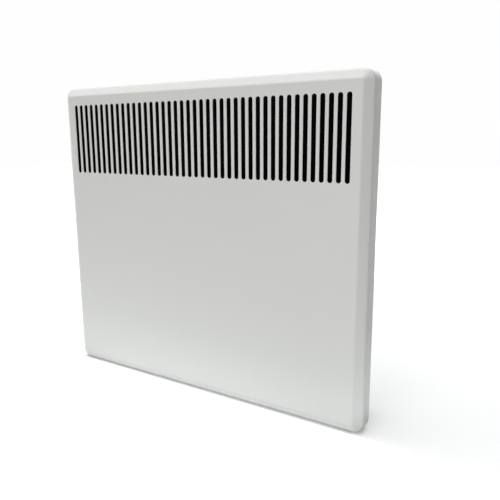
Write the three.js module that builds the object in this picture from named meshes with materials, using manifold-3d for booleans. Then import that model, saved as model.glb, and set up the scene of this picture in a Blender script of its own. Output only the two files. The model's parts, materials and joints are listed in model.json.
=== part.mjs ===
// Wall panel convector heater, standing on its lower edge.
// Millimetres, +Z up, the front faces -Y, the origin is the centre of the base.

import * as THREE from 'three';
import { mergeVertices } from 'three/addons/utils/BufferGeometryUtils.js';
import Module from 'manifold-3d';

const wasm = await Module();
wasm.setup();

// ---------------------------------------------------------------- driving dimensions

// Clearances
const seat = 0.1; // between flat faces that rest on each other
const fit = 0.3; // round a piece that sits in a hole
const turnGap = 0.5; // under a piece that turns

// Sheets
const coverSheet = 0.8;
const innerSheet = 0.6;
const bracketSheet = 1.2;
const foldRadius = 1; // inside radius of a plain fold

// Front cover: a pressing with a bevelled rim
const coverWidth = 460;
const coverHeight = 400;
const coverDepth = 25;
const coverCorner = 13;
const leastCorner = 0.5; // radius that the innermost corners of a pressing keep
const bevelWidth = 10.8;
const bevelDepth = 6.8;
const faceBend = 5.2;
const wallBend = 3.2;
const lipWidth = 11;
const lipBend = 0.6;

// Outlet grille
const slotWidth = 5.8;
const slotLength = 93.4;
const slotPitch = 10;
const grilleSideMargin = 22.1;
const grilleTopMargin = 23.3;

// Rear casing: a tray with a flange round its mouth
const casingDepth = 45;
const casingSideInset = 20;
const casingTopInset = 16;
const casingCorner = 6;
const casingBend = 0.5;
const flangeInset = 3;
const intakePitch = 15;
const intakeWidth = 6;
const intakeLength = 28;
const intakeMargin = 14;
const hookSlotPlay = 1; // at each side of a hook in its slot

// Air guide and heat shield
const standoff = 7;
const flangeHeight = 10;
const guideRise = 6; // from the partition's roof to the guide's lower edge
const guideRadius = 55;
const guideSideGap = 0.9;
const guideTopGap = 3.2;
const guideLip = 6;
const cheekDrop = 8;
const cheekSlope = 30;
const shieldBottom = 20;
const shieldEndGap = 12;

// Control compartment
const compartmentWidth = 50;
const roofGap = 10; // from the control housing's top to the partition's roof
const partitionFlange = 13;
const partitionFoot = 1; // from the flange's mouth up to the partition's lower edge

// Heating element
const elementHeight = 92;
const elementFrontGap = 31.2;
const rodRadius = 4.2;
const rodLeftReach = 11;
const rodRightReach = 9;
const rodCrimp = 0.4;
const rodCrimpLength = 2;
const rodCrimpEase = 1;
const elementRightInset = 28;
const hubRadius = 8;
const wingReach = 31;
const wingThickness = 2;
const wingAngle = 42;
const finHeight = 4.5;
const finThickness = 1.2;
const finPitch = 4.4;
const finStart = 14;
const wingTip = 0.1; // least length of a wing past its last fin
const diffuserEndGap = 12;
const bracketFoot = 14;
const bracketReach = 22;
const bracketHeight = 62;
const bushNeck = 7;
const bushFlange = 10;
const bushThickness = 3.5;
const bushChamfer = 1.4;
const studRadius = 2;
const studLength = 9;
const nutRadius = 4;
const nutStart = 2;
const nutLength = 3;

// Overheat cut-out
const cutoutDrop = 22; // from the partition's roof to the cut-out's middle
const cutoutFrontGap = 17;
const cutoutNeck = 4.7;
const cutoutCup = 8.5;
const cutoutCupDepth = 4;
const cutoutCupChamfer = 0.8;
const cutoutBody = 7.5;
const cutoutBodyDepth = 10;

// Blade terminals
const bladeWidth = 4.8;
const bladeThickness = 0.8;
const bladeLength = 6;
const bladeSpacing = 8;

// Control housing in the left side of the casing
const housingWidth = 36;
const housingHeight = 104;
const housingCorner = 6;
const housingFace = 2.4;
const housingRim = 3; // how far the face overlaps the casing round the cut-out
const housingWall = 1.6;
const housingDepth = 20;
const housingHeightCentre = 110;
const housingOffset = 1.5; // behind the middle of the casing's side, towards the cover
const housingScrewInset = 5; // from the casing's cut-out to a screw
const tubEndInset = 13; // room for a screw above and below the tub
const tubCorner = 2;

// Thermostat
const thermostatRise = 24;
const thermostatWidth = 22;
const thermostatHeight = 26;
const thermostatDepth = 18;
const bushRadius = 4.6;
const spindleRadius = 3;
const spindleFlat = 2.2;
const knobRadius = 14;
const knobDisc = 6;
const knobGrip = 6;
const knobGripWidth = 5;
const knobGripFlat = 0.1; // left at each end of the grip
const knobShoulder = 1; // height of the step round the disc
const knobFlutes = 20;
const knobFluteDepth = 0.7;

// Rocker switch and pilot lamp
const switchDrop = 20;
const switchWidth = 15;
const switchHeight = 22.4;
const switchFlange = 1.4;
const switchCorner = 1.5;
const switchWall = 1.1;
const switchDepth = 16;
const rockerWidth = 10;
const rockerHalfLength = 8.1;
const rockerRise = 6.4;
const rockerDip = 5;
const rockerPivotDepth = 5;
const rockerTilt = 8; // degrees from level, to each side
const rockerFoot = 2.5;
const trunnionRadius = 1.2;
const trunnionReach = 0.8;
const recessSpare = 1.1;
const recessDepth = 11;
const lampRadius = 2.5;
const lampFlange = 3.4;
const lampDome = 1.6;
const lampCollar = 1;
const lampRim = 0.6;
const lampDomeAngle = 54; // degrees up the dome, where its first facet ends
const lampDepth = 6;

// Cable inlet
const glandHeight = 28;
const glandBore = 4.3;
const glandBarrel = 6.2;
const glandFlange = 9;
const glandFlangeThickness = 3;
const glandNose = 9;
const glandShoulder = 1;
const glandInside = 10.2;
const glandNutThickness = 4.5;
const glandNutRadius = 9.5;

// Terminal block and inner leads
const blockWidth = 28;
const blockHeight = 18;
const blockDepth = 16;
const blockBottom = 40;
const blockPoles = 3;
const blockSideGap = 3;
const blockBevel = 2;
const blockGroove = 3;
const wireRadius = 1.1;
const wireHole = 1.6;
const wireDepth = 5.2; // from the wall to the middle of a wire in the block
const returnHeight = 48;
const returnDepth = 4.2; // from the wall to the middle of the return lead
const earthRise = 24; // from the terminal block's top to the earth screw
const earthOffset = 2; // of the earth screw from the block's middle
const bladeRun = 3; // straight run of a lead out of a blade
const studRun = 8; // and out of a stud
const tubClear = 4; // from the tub's mouth to a lead
const behindTub = 4.6; // from the wall to the leads that pass behind the tub
const supplyRise = 5; // of the supply lead above the block before it turns
const supplyTurn = 13; // above the block, where it passes the tub's mouth
const supplyForward = 8; // from the block's wires to its lane
const supplyDrop = 12; // below the switch, where it turns to the front
const laneShift = 1; // of the supply lead beside the switch lead
const cutoutSag = 3; // of the leads at the cut-out
const returnTurn = 4; // of the return lead, above its run along the wall
const returnReach = 7; // from its pole to its run
const returnLift = 14; // where it leaves the wall to rise to its stud
const returnEnd = 20; // from the element's bracket, where its run ends
const earthTurn = 7; // of the earth lead, above the block

// Screws
const screwRadius = 1.5;
const screwHeadRadius = 3.2;
const screwHeadHeight = 2;
const screwTip = 2.5;
const screwPoint = 1;
const screwHeadRim = 0.8;
const screwCrown = 1.9; // radius of the flat on the head
const screwInset = 7; // cover screws, from the cover's outer wall
const guideScrewInset = 30; // outer guide screws, from the casing's side
const quarters = [0.25, 0.75]; // shares of a length where a pair of holes goes
const partitionScrewShares = [0.16, 0.84]; // of the partition's height
const partitionScrewShare = 0.55; // of its flange's width
const footScrewSpread = 0.35; // of the bracket's height, from its middle
const footScrewShare = 0.6; // of the bracket's foot
const coverScrewShares = [0.2, 0.8]; // of the cover's height

// Wall bracket and latches
const wallGap = 10;
const hangerSpacing = 240;
const hangerBottom = 110;
const hangerDrop = 84; // from the casing's top to the uprights' top
const hangerCrown = 24;
const hangerFoot = 13;
const barHeight = 20;
const barBottom = 130;
const wallSlotSpacing = 120;
const wallSlotLength = 12;
const wallSlotWidth = 5.6;
const hookHeight = 146;
const hookWidth = 20;
const hookRise = 14;
const hookDrop = 11; // free height under the hook for lifting the heater off
const hookBend = 0.5;
const headDrop = 22; // from the casing's top to the bracket's
const headWidth = 50;
const latchDrop = 39; // from the casing's top to the latches' pivots
const latchPlate = 2.4;
const latchFrontGap = 1.4;
const latchHub = 8;
const latchBoss = 7;
const latchNose = 27;
const latchNoseHalf = 4.5;
const latchLever = 34;
const latchLeverHalf = 5;
const latchNoseChamfer = 1;
const latchLeverChamfer = 2;
const latchCheek = 0.8; // share of the hub's radius, where it runs into nose and lever
const latchNeck = 1.4; // and how far up the lever begins
const latchRibs = [0.62, 0.74, 0.86]; // shares of the lever's length
const latchRibHalf = 0.8;
const latchRibRise = 1;
const catchDrop = 37; // from a latch's pivot to the foot of its catch
const catchRise = 22;
const catchHalf = 8;
const rivetRadius = 2.5;
const rivetHead = 5;
const rivetHeadHeight = 0.8;
const rivetChamfer = 0.4;

// Wall spacers
const spacerInset = 60; // from the casing's side
const spacerHeight = 24;
const spacerRadius = 9;
const spacerTaper = 2;
const spacerCollar = 4;
const spacerChamfer = 1;

// Facets
const bendSteps = 4; // per quarter turn of a fold
const cornerSteps = 5; // per rounded corner
const smallCornerSteps = 3; // per corner of a moulding
const slotSteps = 2; // per quarter turn of a slot's end
const roundSides = 12;
const shaftSides = 16;
const smallSides = 10;
const screwSides = 8;
const hexSides = 6;
const leadFacet = 5.5; // length along a lead
const leadSteps = 34; // most facets along a lead
const wireSides = 6;

// Modelling allowances
const through = 1; // how far a cutter runs past the faces that it cuts
const rooted = 1; // how far a joined piece runs into the one that it grows from
const weld = 1e-4; // points closer than this are one point

// ---------------------------------------------------------------- planes that pieces share

const overallDepth = coverDepth + casingDepth + wallGap;
const faceY = -overallDepth / 2;
const coverBackY = faceY + coverDepth;
const flangeY = coverBackY + seat;
const casingBackY = coverBackY + casingDepth;
const wallY = casingBackY + wallGap;
const faceInsideY = faceY + coverSheet;
const backInsideY = casingBackY - coverSheet;
const onBackY = backInsideY - seat;
const casingHalf = coverWidth / 2 - casingSideInset;
const casingTop = coverHeight - casingTopInset;
const sideInside = casingHalf - coverSheet;
const partitionX = -casingHalf + compartmentWidth;
const partitionTop = housingHeightCentre + housingHeight / 2 + roofGap;
const guideBottom = partitionTop + guideRise;
const cutoutZ = partitionTop - cutoutDrop;
const hangerTop = casingTop - hangerDrop;
const latchZ = casingTop - latchDrop;
const catchZ = latchZ - catchDrop;
const bracketX = casingHalf - elementRightInset;
const elementY = faceInsideY + elementFrontGap;
const cutoutY = faceInsideY + cutoutFrontGap;
const housingY = (coverBackY + casingBackY) / 2 - housingOffset;
const housingInnerX = -casingHalf - seat;
const housingOuterX = housingInnerX - housingFace;
const housingMouthX = housingInnerX + housingDepth;
const thermostatZ = housingHeightCentre + thermostatRise;
const thermostatBackX = housingInnerX + seat + thermostatDepth;
const switchZ = housingHeightCentre - switchDrop;
const switchBackX = housingOuterX + switchDepth;
const rockerX = housingOuterX - seat - switchFlange + rockerPivotDepth;
const grilleTop = coverHeight - grilleTopMargin;
const grilleBottom = grilleTop - slotLength;

// ---------------------------------------------------------------- geometry helpers

const xAxis = new THREE.Vector3(1, 0, 0);
const yAxis = new THREE.Vector3(0, 1, 0);
const zAxis = new THREE.Vector3(0, 0, 1);
const prismFrames = {
  x: new THREE.Matrix4().makeBasis(yAxis, zAxis, xAxis),
  y: new THREE.Matrix4().makeBasis(xAxis, zAxis, yAxis.clone().negate()),
  z: new THREE.Matrix4(),
};
const point = (u, v) => new THREE.Vector2(u, v);

/** One closed body: shared vertices, no slivers, faces pointing out. */
function closedBody(source) {
  const bare = source.clone();
  bare.deleteAttribute('normal');
  bare.deleteAttribute('uv');
  const welded = mergeVertices(bare, weld);
  const at = welded.getAttribute('position');
  const corners = welded.getIndex().array;
  const kept = [];
  let volume = 0;
  const [a, b, c] = [new THREE.Vector3(), new THREE.Vector3(), new THREE.Vector3()];
  for (let i = 0; i < corners.length; i += 3) {
    const [p, q, r] = [corners[i], corners[i + 1], corners[i + 2]];
    if (p === q || q === r || r === p) continue;
    kept.push(p, q, r);
    a.fromBufferAttribute(at, p);
    b.fromBufferAttribute(at, q);
    c.fromBufferAttribute(at, r);
    volume += a.dot(b.cross(c));
  }
  if (volume < 0) kept.reverse();
  welded.setIndex(kept);
  return welded;
}

function toSolid(geometry) {
  const body = closedBody(geometry);
  return new wasm.Manifold(new wasm.Mesh({
    numProp: 3,
    vertProperties: new Float32Array(body.getAttribute('position').array),
    triVerts: new Uint32Array(body.getIndex().array),
  }));
}

function toGeometry(solid) {
  const mesh = solid.getMesh();
  const geometry = new THREE.BufferGeometry();
  geometry.setAttribute('position', new THREE.BufferAttribute(mesh.vertProperties, 3));
  geometry.setIndex(new THREE.BufferAttribute(mesh.triVerts, 1));
  return geometry;
}

function join(...pieces) {
  return toGeometry(pieces.map(toSolid).reduce((all, piece) => all.add(piece)));
}

function cut(body, ...tools) {
  return toGeometry(tools.map(toSolid).reduce((left, tool) => left.subtract(tool), toSolid(body)));
}

/** Several separate solids as one geometry, to cut them all at once. */
function gather(pieces) {
  const positions = [];
  const index = [];
  for (const piece of pieces.map(closedBody)) {
    const base = positions.length / 3;
    positions.push(...piece.getAttribute('position').array);
    index.push(...Array.from(piece.getIndex().array, (corner) => corner + base));
  }
  const geometry = new THREE.BufferGeometry();
  geometry.setAttribute('position', new THREE.Float32BufferAttribute(positions, 3));
  return geometry.setIndex(index);
}

/** An outline pushed along an axis: (y, z) along x, (x, z) along y or (x, y) along z. */
function prism(outline, axis, from, to, holes = []) {
  const shape = new THREE.Shape(outline);
  shape.holes = holes.map((hole) => new THREE.Path(hole));
  const body = new THREE.ExtrudeGeometry(shape, { depth: to - from, bevelEnabled: false });
  return body.translate(0, 0, axis === 'y' ? -to : from).applyMatrix4(prismFrames[axis]);
}

/** A turned piece: [radius, height] pairs revolved about an axis through a point. */
function turned(profile, axis, [x, y, z] = [0, 0, 0], sides = roundSides) {
  const body = new THREE.LatheGeometry(profile.map(([r, h]) => point(r, h)), sides);
  if (axis === 'x') body.rotateZ(-Math.PI / 2);
  if (axis === 'z') body.rotateX(Math.PI / 2);
  return body.translate(x, y, z);
}

function circle(u, v, radius, sides = roundSides) {
  return Array.from({ length: sides }, (_, i) => {
    const angle = (2 * Math.PI * i) / sides;
    return point(u + radius * Math.cos(angle), v + radius * Math.sin(angle));
  });
}

/** A rectangle whose corners are arcs, from its lower right corner anticlockwise. */
function roundedRectangle(left, right, bottom, top, radius, steps = cornerSteps) {
  const centres = [
    [right - radius, bottom + radius], [right - radius, top - radius],
    [left + radius, top - radius], [left + radius, bottom + radius],
  ];
  return centres.flatMap(([u, v], quarter) => Array.from({ length: steps + 1 }, (_, i) => {
    const angle = ((quarter - 1 + i / steps) * Math.PI) / 2;
    return point(u + radius * Math.cos(angle), v + radius * Math.sin(angle));
  }));
}

const rectangle = (left, right, bottom, top) => [
  point(left, bottom), point(right, bottom), point(right, top), point(left, top),
];

/** A slot with round ends, along u where it is wider than high and along v otherwise. */
function slot(u, v, width, height) {
  const radius = Math.min(width, height) / 2;
  const reach = Math.max(width, height) / 2 - radius;
  const end = Array.from({ length: 2 * slotSteps + 1 }, (_, i) => {
    const angle = (Math.PI * i) / (2 * slotSteps);
    return [radius * Math.cos(angle), reach + radius * Math.sin(angle)];
  });
  const outline = [...end, ...end.map(([across, along]) => [-across, -along])];
  return outline.map(([across, along]) => (
    height > width ? point(u + across, v + along) : point(u + along, v - across)
  ));
}

/** A path through corners, each inner one rounded with its own radius. */
function roundedPath(corners, radii) {
  return corners.flatMap((corner, i) => {
    if (!radii[i]) return [corner.clone()];
    const before = corner.clone().sub(corners[i - 1]).normalize();
    const after = corners[i + 1].clone().sub(corner).normalize();
    const turn = Math.atan2(before.cross(after), before.dot(after));
    const toCentre = point(-before.y, before.x).multiplyScalar(Math.sign(turn) * radii[i]);
    const centre = corner.clone().add(toCentre)
      .addScaledVector(before, -radii[i] * Math.tan(Math.abs(turn) / 2));
    const steps = Math.max(2, Math.ceil((Math.abs(turn) / (Math.PI / 2)) * bendSteps));
    return Array.from({ length: steps + 1 }, (_, s) => (
      toCentre.clone().negate().rotateAround(point(0, 0), (turn * s) / steps).add(centre)
    ));
  });
}

/** The two faces of a folded sheet: one through the corners, one a thickness to its left. */
function sheetFaces(corners, thickness, bends) {
  const inner = Array.isArray(bends) ? bends : corners.map(() => bends);
  const runs = corners.slice(1).map((corner, i) => corner.clone().sub(corners[i]).normalize());
  const normals = runs.map((run) => point(-run.y, run.x));
  const last = runs.length - 1;
  const far = corners.map((corner, i) => {
    const before = normals[Math.max(i - 1, 0)];
    const after = normals[Math.min(i, last)];
    const mitre = thickness / (1 + before.dot(after));
    return corner.clone().addScaledVector(before, mitre).addScaledVector(after, mitre);
  });
  const radii = (leftTurnExtra, rightTurnExtra) => corners.map((_, i) => {
    if (i === 0 || i > last) return 0;
    return inner[i] + (runs[i - 1].cross(runs[i]) > 0 ? leftTurnExtra : rightTurnExtra);
  });
  return {
    near: roundedPath(corners, radii(thickness, 0)),
    far: roundedPath(far, radii(0, thickness)),
  };
}

/** A folded sheet's cross-section as one closed outline. */
function foldedSection(corners, thickness, bends = foldRadius) {
  const { near, far } = sheetFaces(corners, thickness, bends);
  return [...near, ...far.reverse()];
}

/** A pressing: rounded rectangles joined in order, each [inset, y] of a path, ends capped. */
function pressing({ left, right, bottom, top, corner }, path) {
  const rings = path.map(({ x: inset, y }) => roundedRectangle(
    left + inset, right - inset, bottom + inset, top - inset, Math.max(corner - inset, leastCorner),
  ).map(({ x, y: z }) => [x, y, z]));
  const size = rings[0].length;
  const index = [];
  for (let ring = 0; ring + 1 < rings.length; ring += 1) {
    for (let i = 0; i < size; i += 1) {
      const [a, b] = [ring * size + i, ring * size + ((i + 1) % size)];
      index.push(a, b, b + size, a, b + size, a + size);
    }
  }
  const end = (rings.length - 1) * size;
  for (let i = 1; i + 1 < size; i += 1) {
    index.push(0, i + 1, i);
    index.push(end, end + i, end + i + 1);
  }
  const body = new THREE.BufferGeometry();
  body.setAttribute('position', new THREE.Float32BufferAttribute(rings.flat(2), 3));
  return body.setIndex(index);
}

/** A round lead through a list of points. */
function lead(points) {
  const curve = new THREE.CatmullRomCurve3(points.map((p) => new THREE.Vector3(...p)), false,
    'centripetal');
  const steps = Math.min(Math.ceil(curve.getLength() / leadFacet), leadSteps);
  const section = new THREE.Shape(circle(0, 0, wireRadius, wireSides));
  return new THREE.ExtrudeGeometry(section, { steps, extrudePath: curve });
}

// ---------------------------------------------------------------- the scene graph

const heater = new THREE.Group();

const finish = (color, roughness, metalness) => (
  () => new THREE.MeshStandardMaterial({ color, roughness, metalness })
);
const whiteCoat = finish(0xdadbd6, 0.45, 0);
const blackCoat = finish(0x151515, 0.85, 0);
const galvanised = finish(0xa9adb0, 0.45, 1);
const brightSheet = finish(0xc9cccf, 0.3, 1);
const aluminium = finish(0xb9bcbe, 0.4, 1);
const stainless = finish(0x8d8c8a, 0.35, 1);
const zincPlate = finish(0xb4b7b8, 0.35, 1);
const brass = finish(0xc3a257, 0.35, 1);
const ceramic = finish(0xe6e0d2, 0.6, 0);
const darkPlastic = finish(0x2b2c2e, 0.55, 0);
const whitePlastic = finish(0xd7d8d4, 0.5, 0);
const lampPlastic = finish(0xc8501e, 0.2, 0);
const rubber = finish(0x26272a, 0.85, 0);
const brownSleeve = finish(0x5d3a26, 0.5, 0);
const blueSleeve = finish(0x2a4f8f, 0.5, 0);
const greenSleeve = finish(0x5f8f2f, 0.5, 0);

function add(name, geometry, makeFinish, position = [0, 0, 0]) {
  const mesh = new THREE.Mesh(closedBody(geometry), makeFinish());
  mesh.name = name;
  mesh.position.set(...position);
  heater.add(mesh);
  return mesh;
}

/** Copies of one fastener, numbered from 1. */
function addEach(name, geometries, makeFinish) {
  geometries.forEach((geometry, i) => add(`${name}_${i + 1}`, geometry, makeFinish));
}

// ---------------------------------------------------------------- fasteners

/** A pan-head screw whose head rests on the origin, shank along +axis. */
function screw(axis, position, shank) {
  return turned([
    [0, shank], [screwRadius, shank - screwPoint], [screwRadius, 0], [screwHeadRadius, 0],
    [screwHeadRadius, -screwHeadRim], [screwCrown, -screwHeadHeight], [0, -screwHeadHeight],
  ], axis, position, screwSides);
}

const screwHole = (u, v, axis, from, to) => prism(
  circle(u, v, screwRadius + fit, screwSides), axis, from, to,
);

/** Screws driven backwards into the casing's back wall from a sheet's front face. */
function backScrews(places, frontY) {
  const shank = casingBackY + screwTip - frontY;
  return places.map(([x, z]) => screw('y', [x, frontY - seat, z], shank));
}

// Places of the screws in the back wall
const guideScrewPlaces = [-1, 0, 1]
  .map((side) => [side * (casingHalf - guideScrewInset), guideBottom + flangeHeight / 2]);
const shieldLeft = partitionX + shieldEndGap;
const shieldRight = bracketX - shieldEndGap;
const shieldScrewPlaces = [shieldBottom + flangeHeight / 2, partitionTop - flangeHeight / 2]
  .flatMap((z) => quarters.map((share) => [
    shieldLeft + (shieldRight - shieldLeft) * share, z,
  ]));
const footScrewPlaces = [-1, 1].map((side) => [
  bracketX + bracketFoot * footScrewShare,
  elementHeight + side * footScrewSpread * bracketHeight,
]);
const partitionScrewPlaces = partitionScrewShares.map((share) => [
  partitionX - coverSheet - partitionFlange * partitionScrewShare, partitionTop * share,
]);
const blockLeft = -sideInside + blockSideGap;
const blockMiddleX = blockLeft + blockWidth / 2;
const blockPoleX = (pole) => blockLeft + (blockWidth * (pole + 0.5)) / blockPoles;
const blockScrewX = (blockPoleX(1) + blockPoleX(2)) / 2;
const blockScrewPlace = [blockScrewX, blockBottom + blockHeight / 2];
const earthPlace = [blockMiddleX - earthOffset, blockBottom + blockHeight + earthRise];
const backScrewPlaces = [
  ...guideScrewPlaces, ...shieldScrewPlaces, ...footScrewPlaces, ...partitionScrewPlaces,
  blockScrewPlace, earthPlace,
];
const housingScrewPlaces = [-1, 1].map((side) => [
  housingY, housingHeightCentre + side * (housingHeight / 2 - housingRim - housingScrewInset),
]);
const coverScrewPlaces = [
  ...[-1, 1].flatMap((side) => coverScrewShares.map((share) => [
    side * (coverWidth / 2 - screwInset), coverHeight * share,
  ])),
  ...[-1, 1].map((side) => [(side * coverWidth) / 4, coverHeight - screwInset]),
];

// ---------------------------------------------------------------- front cover

function frontCover() {
  const flatInset = bevelWidth + faceBend;
  const { near, far } = sheetFaces([
    point(lipWidth, coverBackY), point(0, coverBackY), point(0, faceY + bevelDepth),
    point(bevelWidth, faceY), point(flatInset, faceY),
  ], coverSheet, [0, lipBend, wallBend, faceBend, 0]);
  const shell = pressing({
    left: -coverWidth / 2, right: coverWidth / 2, bottom: 0, top: coverHeight,
    corner: coverCorner,
  }, [...far.reverse(), ...near]);
  const span = coverWidth - 2 * grilleSideMargin - slotWidth;
  const slotCount = Math.floor(span / slotPitch + weld) + 1;
  const slots = Array.from({ length: slotCount }, (_, i) => prism(
    slot((i - (slotCount - 1) / 2) * slotPitch, (grilleTop + grilleBottom) / 2,
      slotWidth, slotLength),
    'y', faceY - through, faceInsideY + through,
  ));
  const pilots = coverScrewPlaces.map(([x, z]) => (
    screwHole(x, z, 'y', coverBackY - coverSheet - through, coverBackY + through)
  ));
  return cut(shell, gather(slots), gather(pilots));
}

add('front_cover', frontCover(), whiteCoat);

const coverScrewShank = 2 * coverSheet + screwTip + 2 * seat;
addEach('cover_screw', coverScrewPlaces.map(([x, z]) => (
  screw('y', [0, 0, 0], coverScrewShank).rotateX(Math.PI)
    .translate(x, flangeY + coverSheet + seat, z)
)), zincPlate);

// ---------------------------------------------------------------- rear casing

function casingTray() {
  const flatInset = casingBend + 2 * coverSheet;
  const { near, far } = sheetFaces([
    point(flatInset, casingBackY), point(0, casingBackY), point(0, flangeY),
  ], coverSheet, [0, casingBend, 0]);
  return pressing({
    left: -casingHalf, right: casingHalf, bottom: 0, top: casingTop, corner: casingCorner,
  }, [...near, ...far.reverse()]);
}

/** The flange: a flat frame on the cover's lip, turned up along the bottom edge. */
function casingFlange() {
  const outer = roundedRectangle(flangeInset - coverWidth / 2, coverWidth / 2 - flangeInset,
    flangeInset, coverHeight - flangeInset, coverCorner - flangeInset);
  const foot = rectangle(-casingHalf + casingCorner, casingHalf - casingCorner, 0, lipWidth);
  const mouth = roundedRectangle(-sideInside, sideInside, lipWidth, casingTop - coverSheet,
    casingCorner - coverSheet);
  const [front, back] = [flangeY, flangeY + coverSheet];
  return cut(
    join(prism(outer, 'y', front, back), prism(foot, 'y', front, back)),
    prism(mouth, 'y', front - through, back + through),
  );
}

/** A catch for a latch: a tab folded out of the back wall and up. */
function latchCatch(x) {
  const lipY = casingBackY + latchFrontGap + latchPlate + 2 * fit;
  return prism(foldedSection([
    point(casingBackY - coverSheet / 2, catchZ),
    point(lipY + coverSheet, catchZ), point(lipY + coverSheet, catchZ + catchRise),
  ], coverSheet), 'x', x - catchHalf, x + catchHalf);
}

function intakeSlots() {
  const left = partitionX + intakeMargin;
  const right = casingHalf - intakeMargin;
  const count = Math.floor((right - left) / intakePitch);
  const start = (left + right - (count - 1) * intakePitch) / 2;
  const middleY = (flangeY + casingBackY) / 2;
  return Array.from({ length: count }, (_, i) => prism(
    slot(start + i * intakePitch, middleY, intakeWidth, intakeLength), 'z', -through,
    coverSheet + through,
  ));
}

const housingOuter = {
  left: housingY - housingWidth / 2, right: housingY + housingWidth / 2,
  bottom: housingHeightCentre - housingHeight / 2, top: housingHeightCentre + housingHeight / 2,
};

const tubInset = housingRim + fit;
const tubOutline = (spread) => roundedRectangle(
  housingOuter.left + tubInset - spread, housingOuter.right - tubInset + spread,
  housingOuter.bottom + tubEndInset - spread, housingOuter.top - tubEndInset + spread, tubCorner,
  smallCornerSteps,
);

const hookSlotTop = hookHeight + bracketSheet + fit;

function rearCasing() {
  const hangers = [-1, 1].map((side) => (side * hangerSpacing) / 2);
  const body = join(casingTray(), casingFlange(), ...hangers.map(latchCatch));
  const hookSlots = hangers.map((x) => prism(
    rectangle(x - hookWidth / 2 - hookSlotPlay, x + hookWidth / 2 + hookSlotPlay,
      hookSlotTop - hookDrop - bracketSheet, hookSlotTop),
    'y', backInsideY - through, casingBackY + through,
  ));
  const [wallFrom, wallTo] = [-casingHalf - through, -sideInside + through];
  return cut(
    body,
    gather(intakeSlots()),
    ...hookSlots,
    prism(tubOutline(fit), 'x', wallFrom, wallTo),
    prism(circle(housingY, glandHeight, glandBarrel + fit), 'x', wallFrom, wallTo),
    ...backScrewPlaces.map(([x, z]) => (
      screwHole(x, z, 'y', backInsideY - through, casingBackY + through)
    )),
    ...housingScrewPlaces.map(([y, z]) => screwHole(y, z, 'x', wallFrom, wallTo)),
    ...coverScrewPlaces.map(([x, z]) => (
      screwHole(x, z, 'y', flangeY - through, flangeY + coverSheet + through)
    )),
  );
}

add('rear_casing', rearCasing(), whiteCoat);

// ---------------------------------------------------------------- air guide and heat shield

const guideHalf = sideInside - guideSideGap;
const guideTop = casingTop - coverSheet - guideTopGap;
const guideBackY = onBackY - standoff;
const guideFrontY = faceInsideY + fit + innerSheet;

function airGuide() {
  const corners = [
    point(onBackY, guideBottom), point(onBackY, guideBottom + flangeHeight),
    point(guideBackY, guideBottom + flangeHeight + standoff), point(guideBackY, guideTop),
    point(guideFrontY, guideTop), point(guideFrontY, guideTop + guideLip),
  ];
  const bends = [0, foldRadius, foldRadius, guideRadius, foldRadius, 0];
  const sheet = prism(foldedSection(corners, innerSheet, bends), 'x', -guideHalf, guideHalf);
  const { near } = sheetFaces(corners, innerSheet, bends);
  const bend = near.filter(({ y }) => y > guideBottom + flangeHeight + 2 * standoff);
  const cheekLow = grilleBottom - cheekDrop;
  const cheek = [
    ...bend.filter(({ y }) => y <= guideTop + weld),
    point(guideFrontY - innerSheet, guideTop), point(guideFrontY - innerSheet, cheekLow),
    point(guideBackY, cheekLow - cheekSlope),
  ];
  const cheeks = [-1, 1].map((side) => {
    const outer = side * guideHalf;
    const inner = side * (guideHalf - innerSheet);
    return prism(cheek, 'x', Math.min(outer, inner), Math.max(outer, inner));
  });
  const holes = guideScrewPlaces.map(([x, z]) => screwHole(x, z, 'y', guideBackY, casingBackY));
  return cut(join(sheet, ...cheeks), ...holes);
}

function heatShield() {
  const section = foldedSection([
    point(onBackY, shieldBottom), point(onBackY, shieldBottom + flangeHeight),
    point(guideBackY, shieldBottom + flangeHeight + standoff),
    point(guideBackY, partitionTop - flangeHeight - standoff),
    point(onBackY, partitionTop - flangeHeight), point(onBackY, partitionTop),
  ], innerSheet);
  const sheet = prism(section, 'x', shieldLeft, shieldRight);
  const holes = shieldScrewPlaces.map(([x, z]) => screwHole(x, z, 'y', guideBackY, casingBackY));
  return cut(sheet, ...holes);
}

add('air_guide', airGuide(), blackCoat);
addEach('guide_screw', backScrews(guideScrewPlaces, onBackY - innerSheet), zincPlate);
add('heat_shield', heatShield(), brightSheet);
addEach('shield_screw', backScrews(shieldScrewPlaces, onBackY - innerSheet), zincPlate);

// ---------------------------------------------------------------- control partition

function controlPartition() {
  const frontY = faceInsideY + fit;
  const wall = prism(foldedSection([
    point(partitionX, frontY), point(partitionX, onBackY),
    point(partitionX - coverSheet - partitionFlange, onBackY),
  ], coverSheet), 'z', lipWidth + partitionFoot, partitionTop);
  const roof = prism(rectangle(-sideInside + 2 * fit, partitionX, frontY, onBackY), 'z',
    partitionTop - coverSheet, partitionTop);
  const [from, to] = [partitionX - coverSheet - through, partitionX + through];
  return cut(
    join(wall, roof),
    prism(circle(elementY, elementHeight, bushNeck + fit), 'x', from, to),
    prism(circle(cutoutY, cutoutZ, cutoutNeck + fit), 'x', from, to),
    prism(circle(backInsideY - returnDepth, returnHeight, wireRadius + 2 * fit), 'x', from, to),
    ...partitionScrewPlaces.map(([x, z]) => screwHole(x, z, 'y', guideBackY, casingBackY)),
  );
}

add('control_partition', controlPartition(), galvanised);
addEach('partition_screw', backScrews(partitionScrewPlaces, onBackY - coverSheet), zincPlate);

// ---------------------------------------------------------------- heating element

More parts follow.
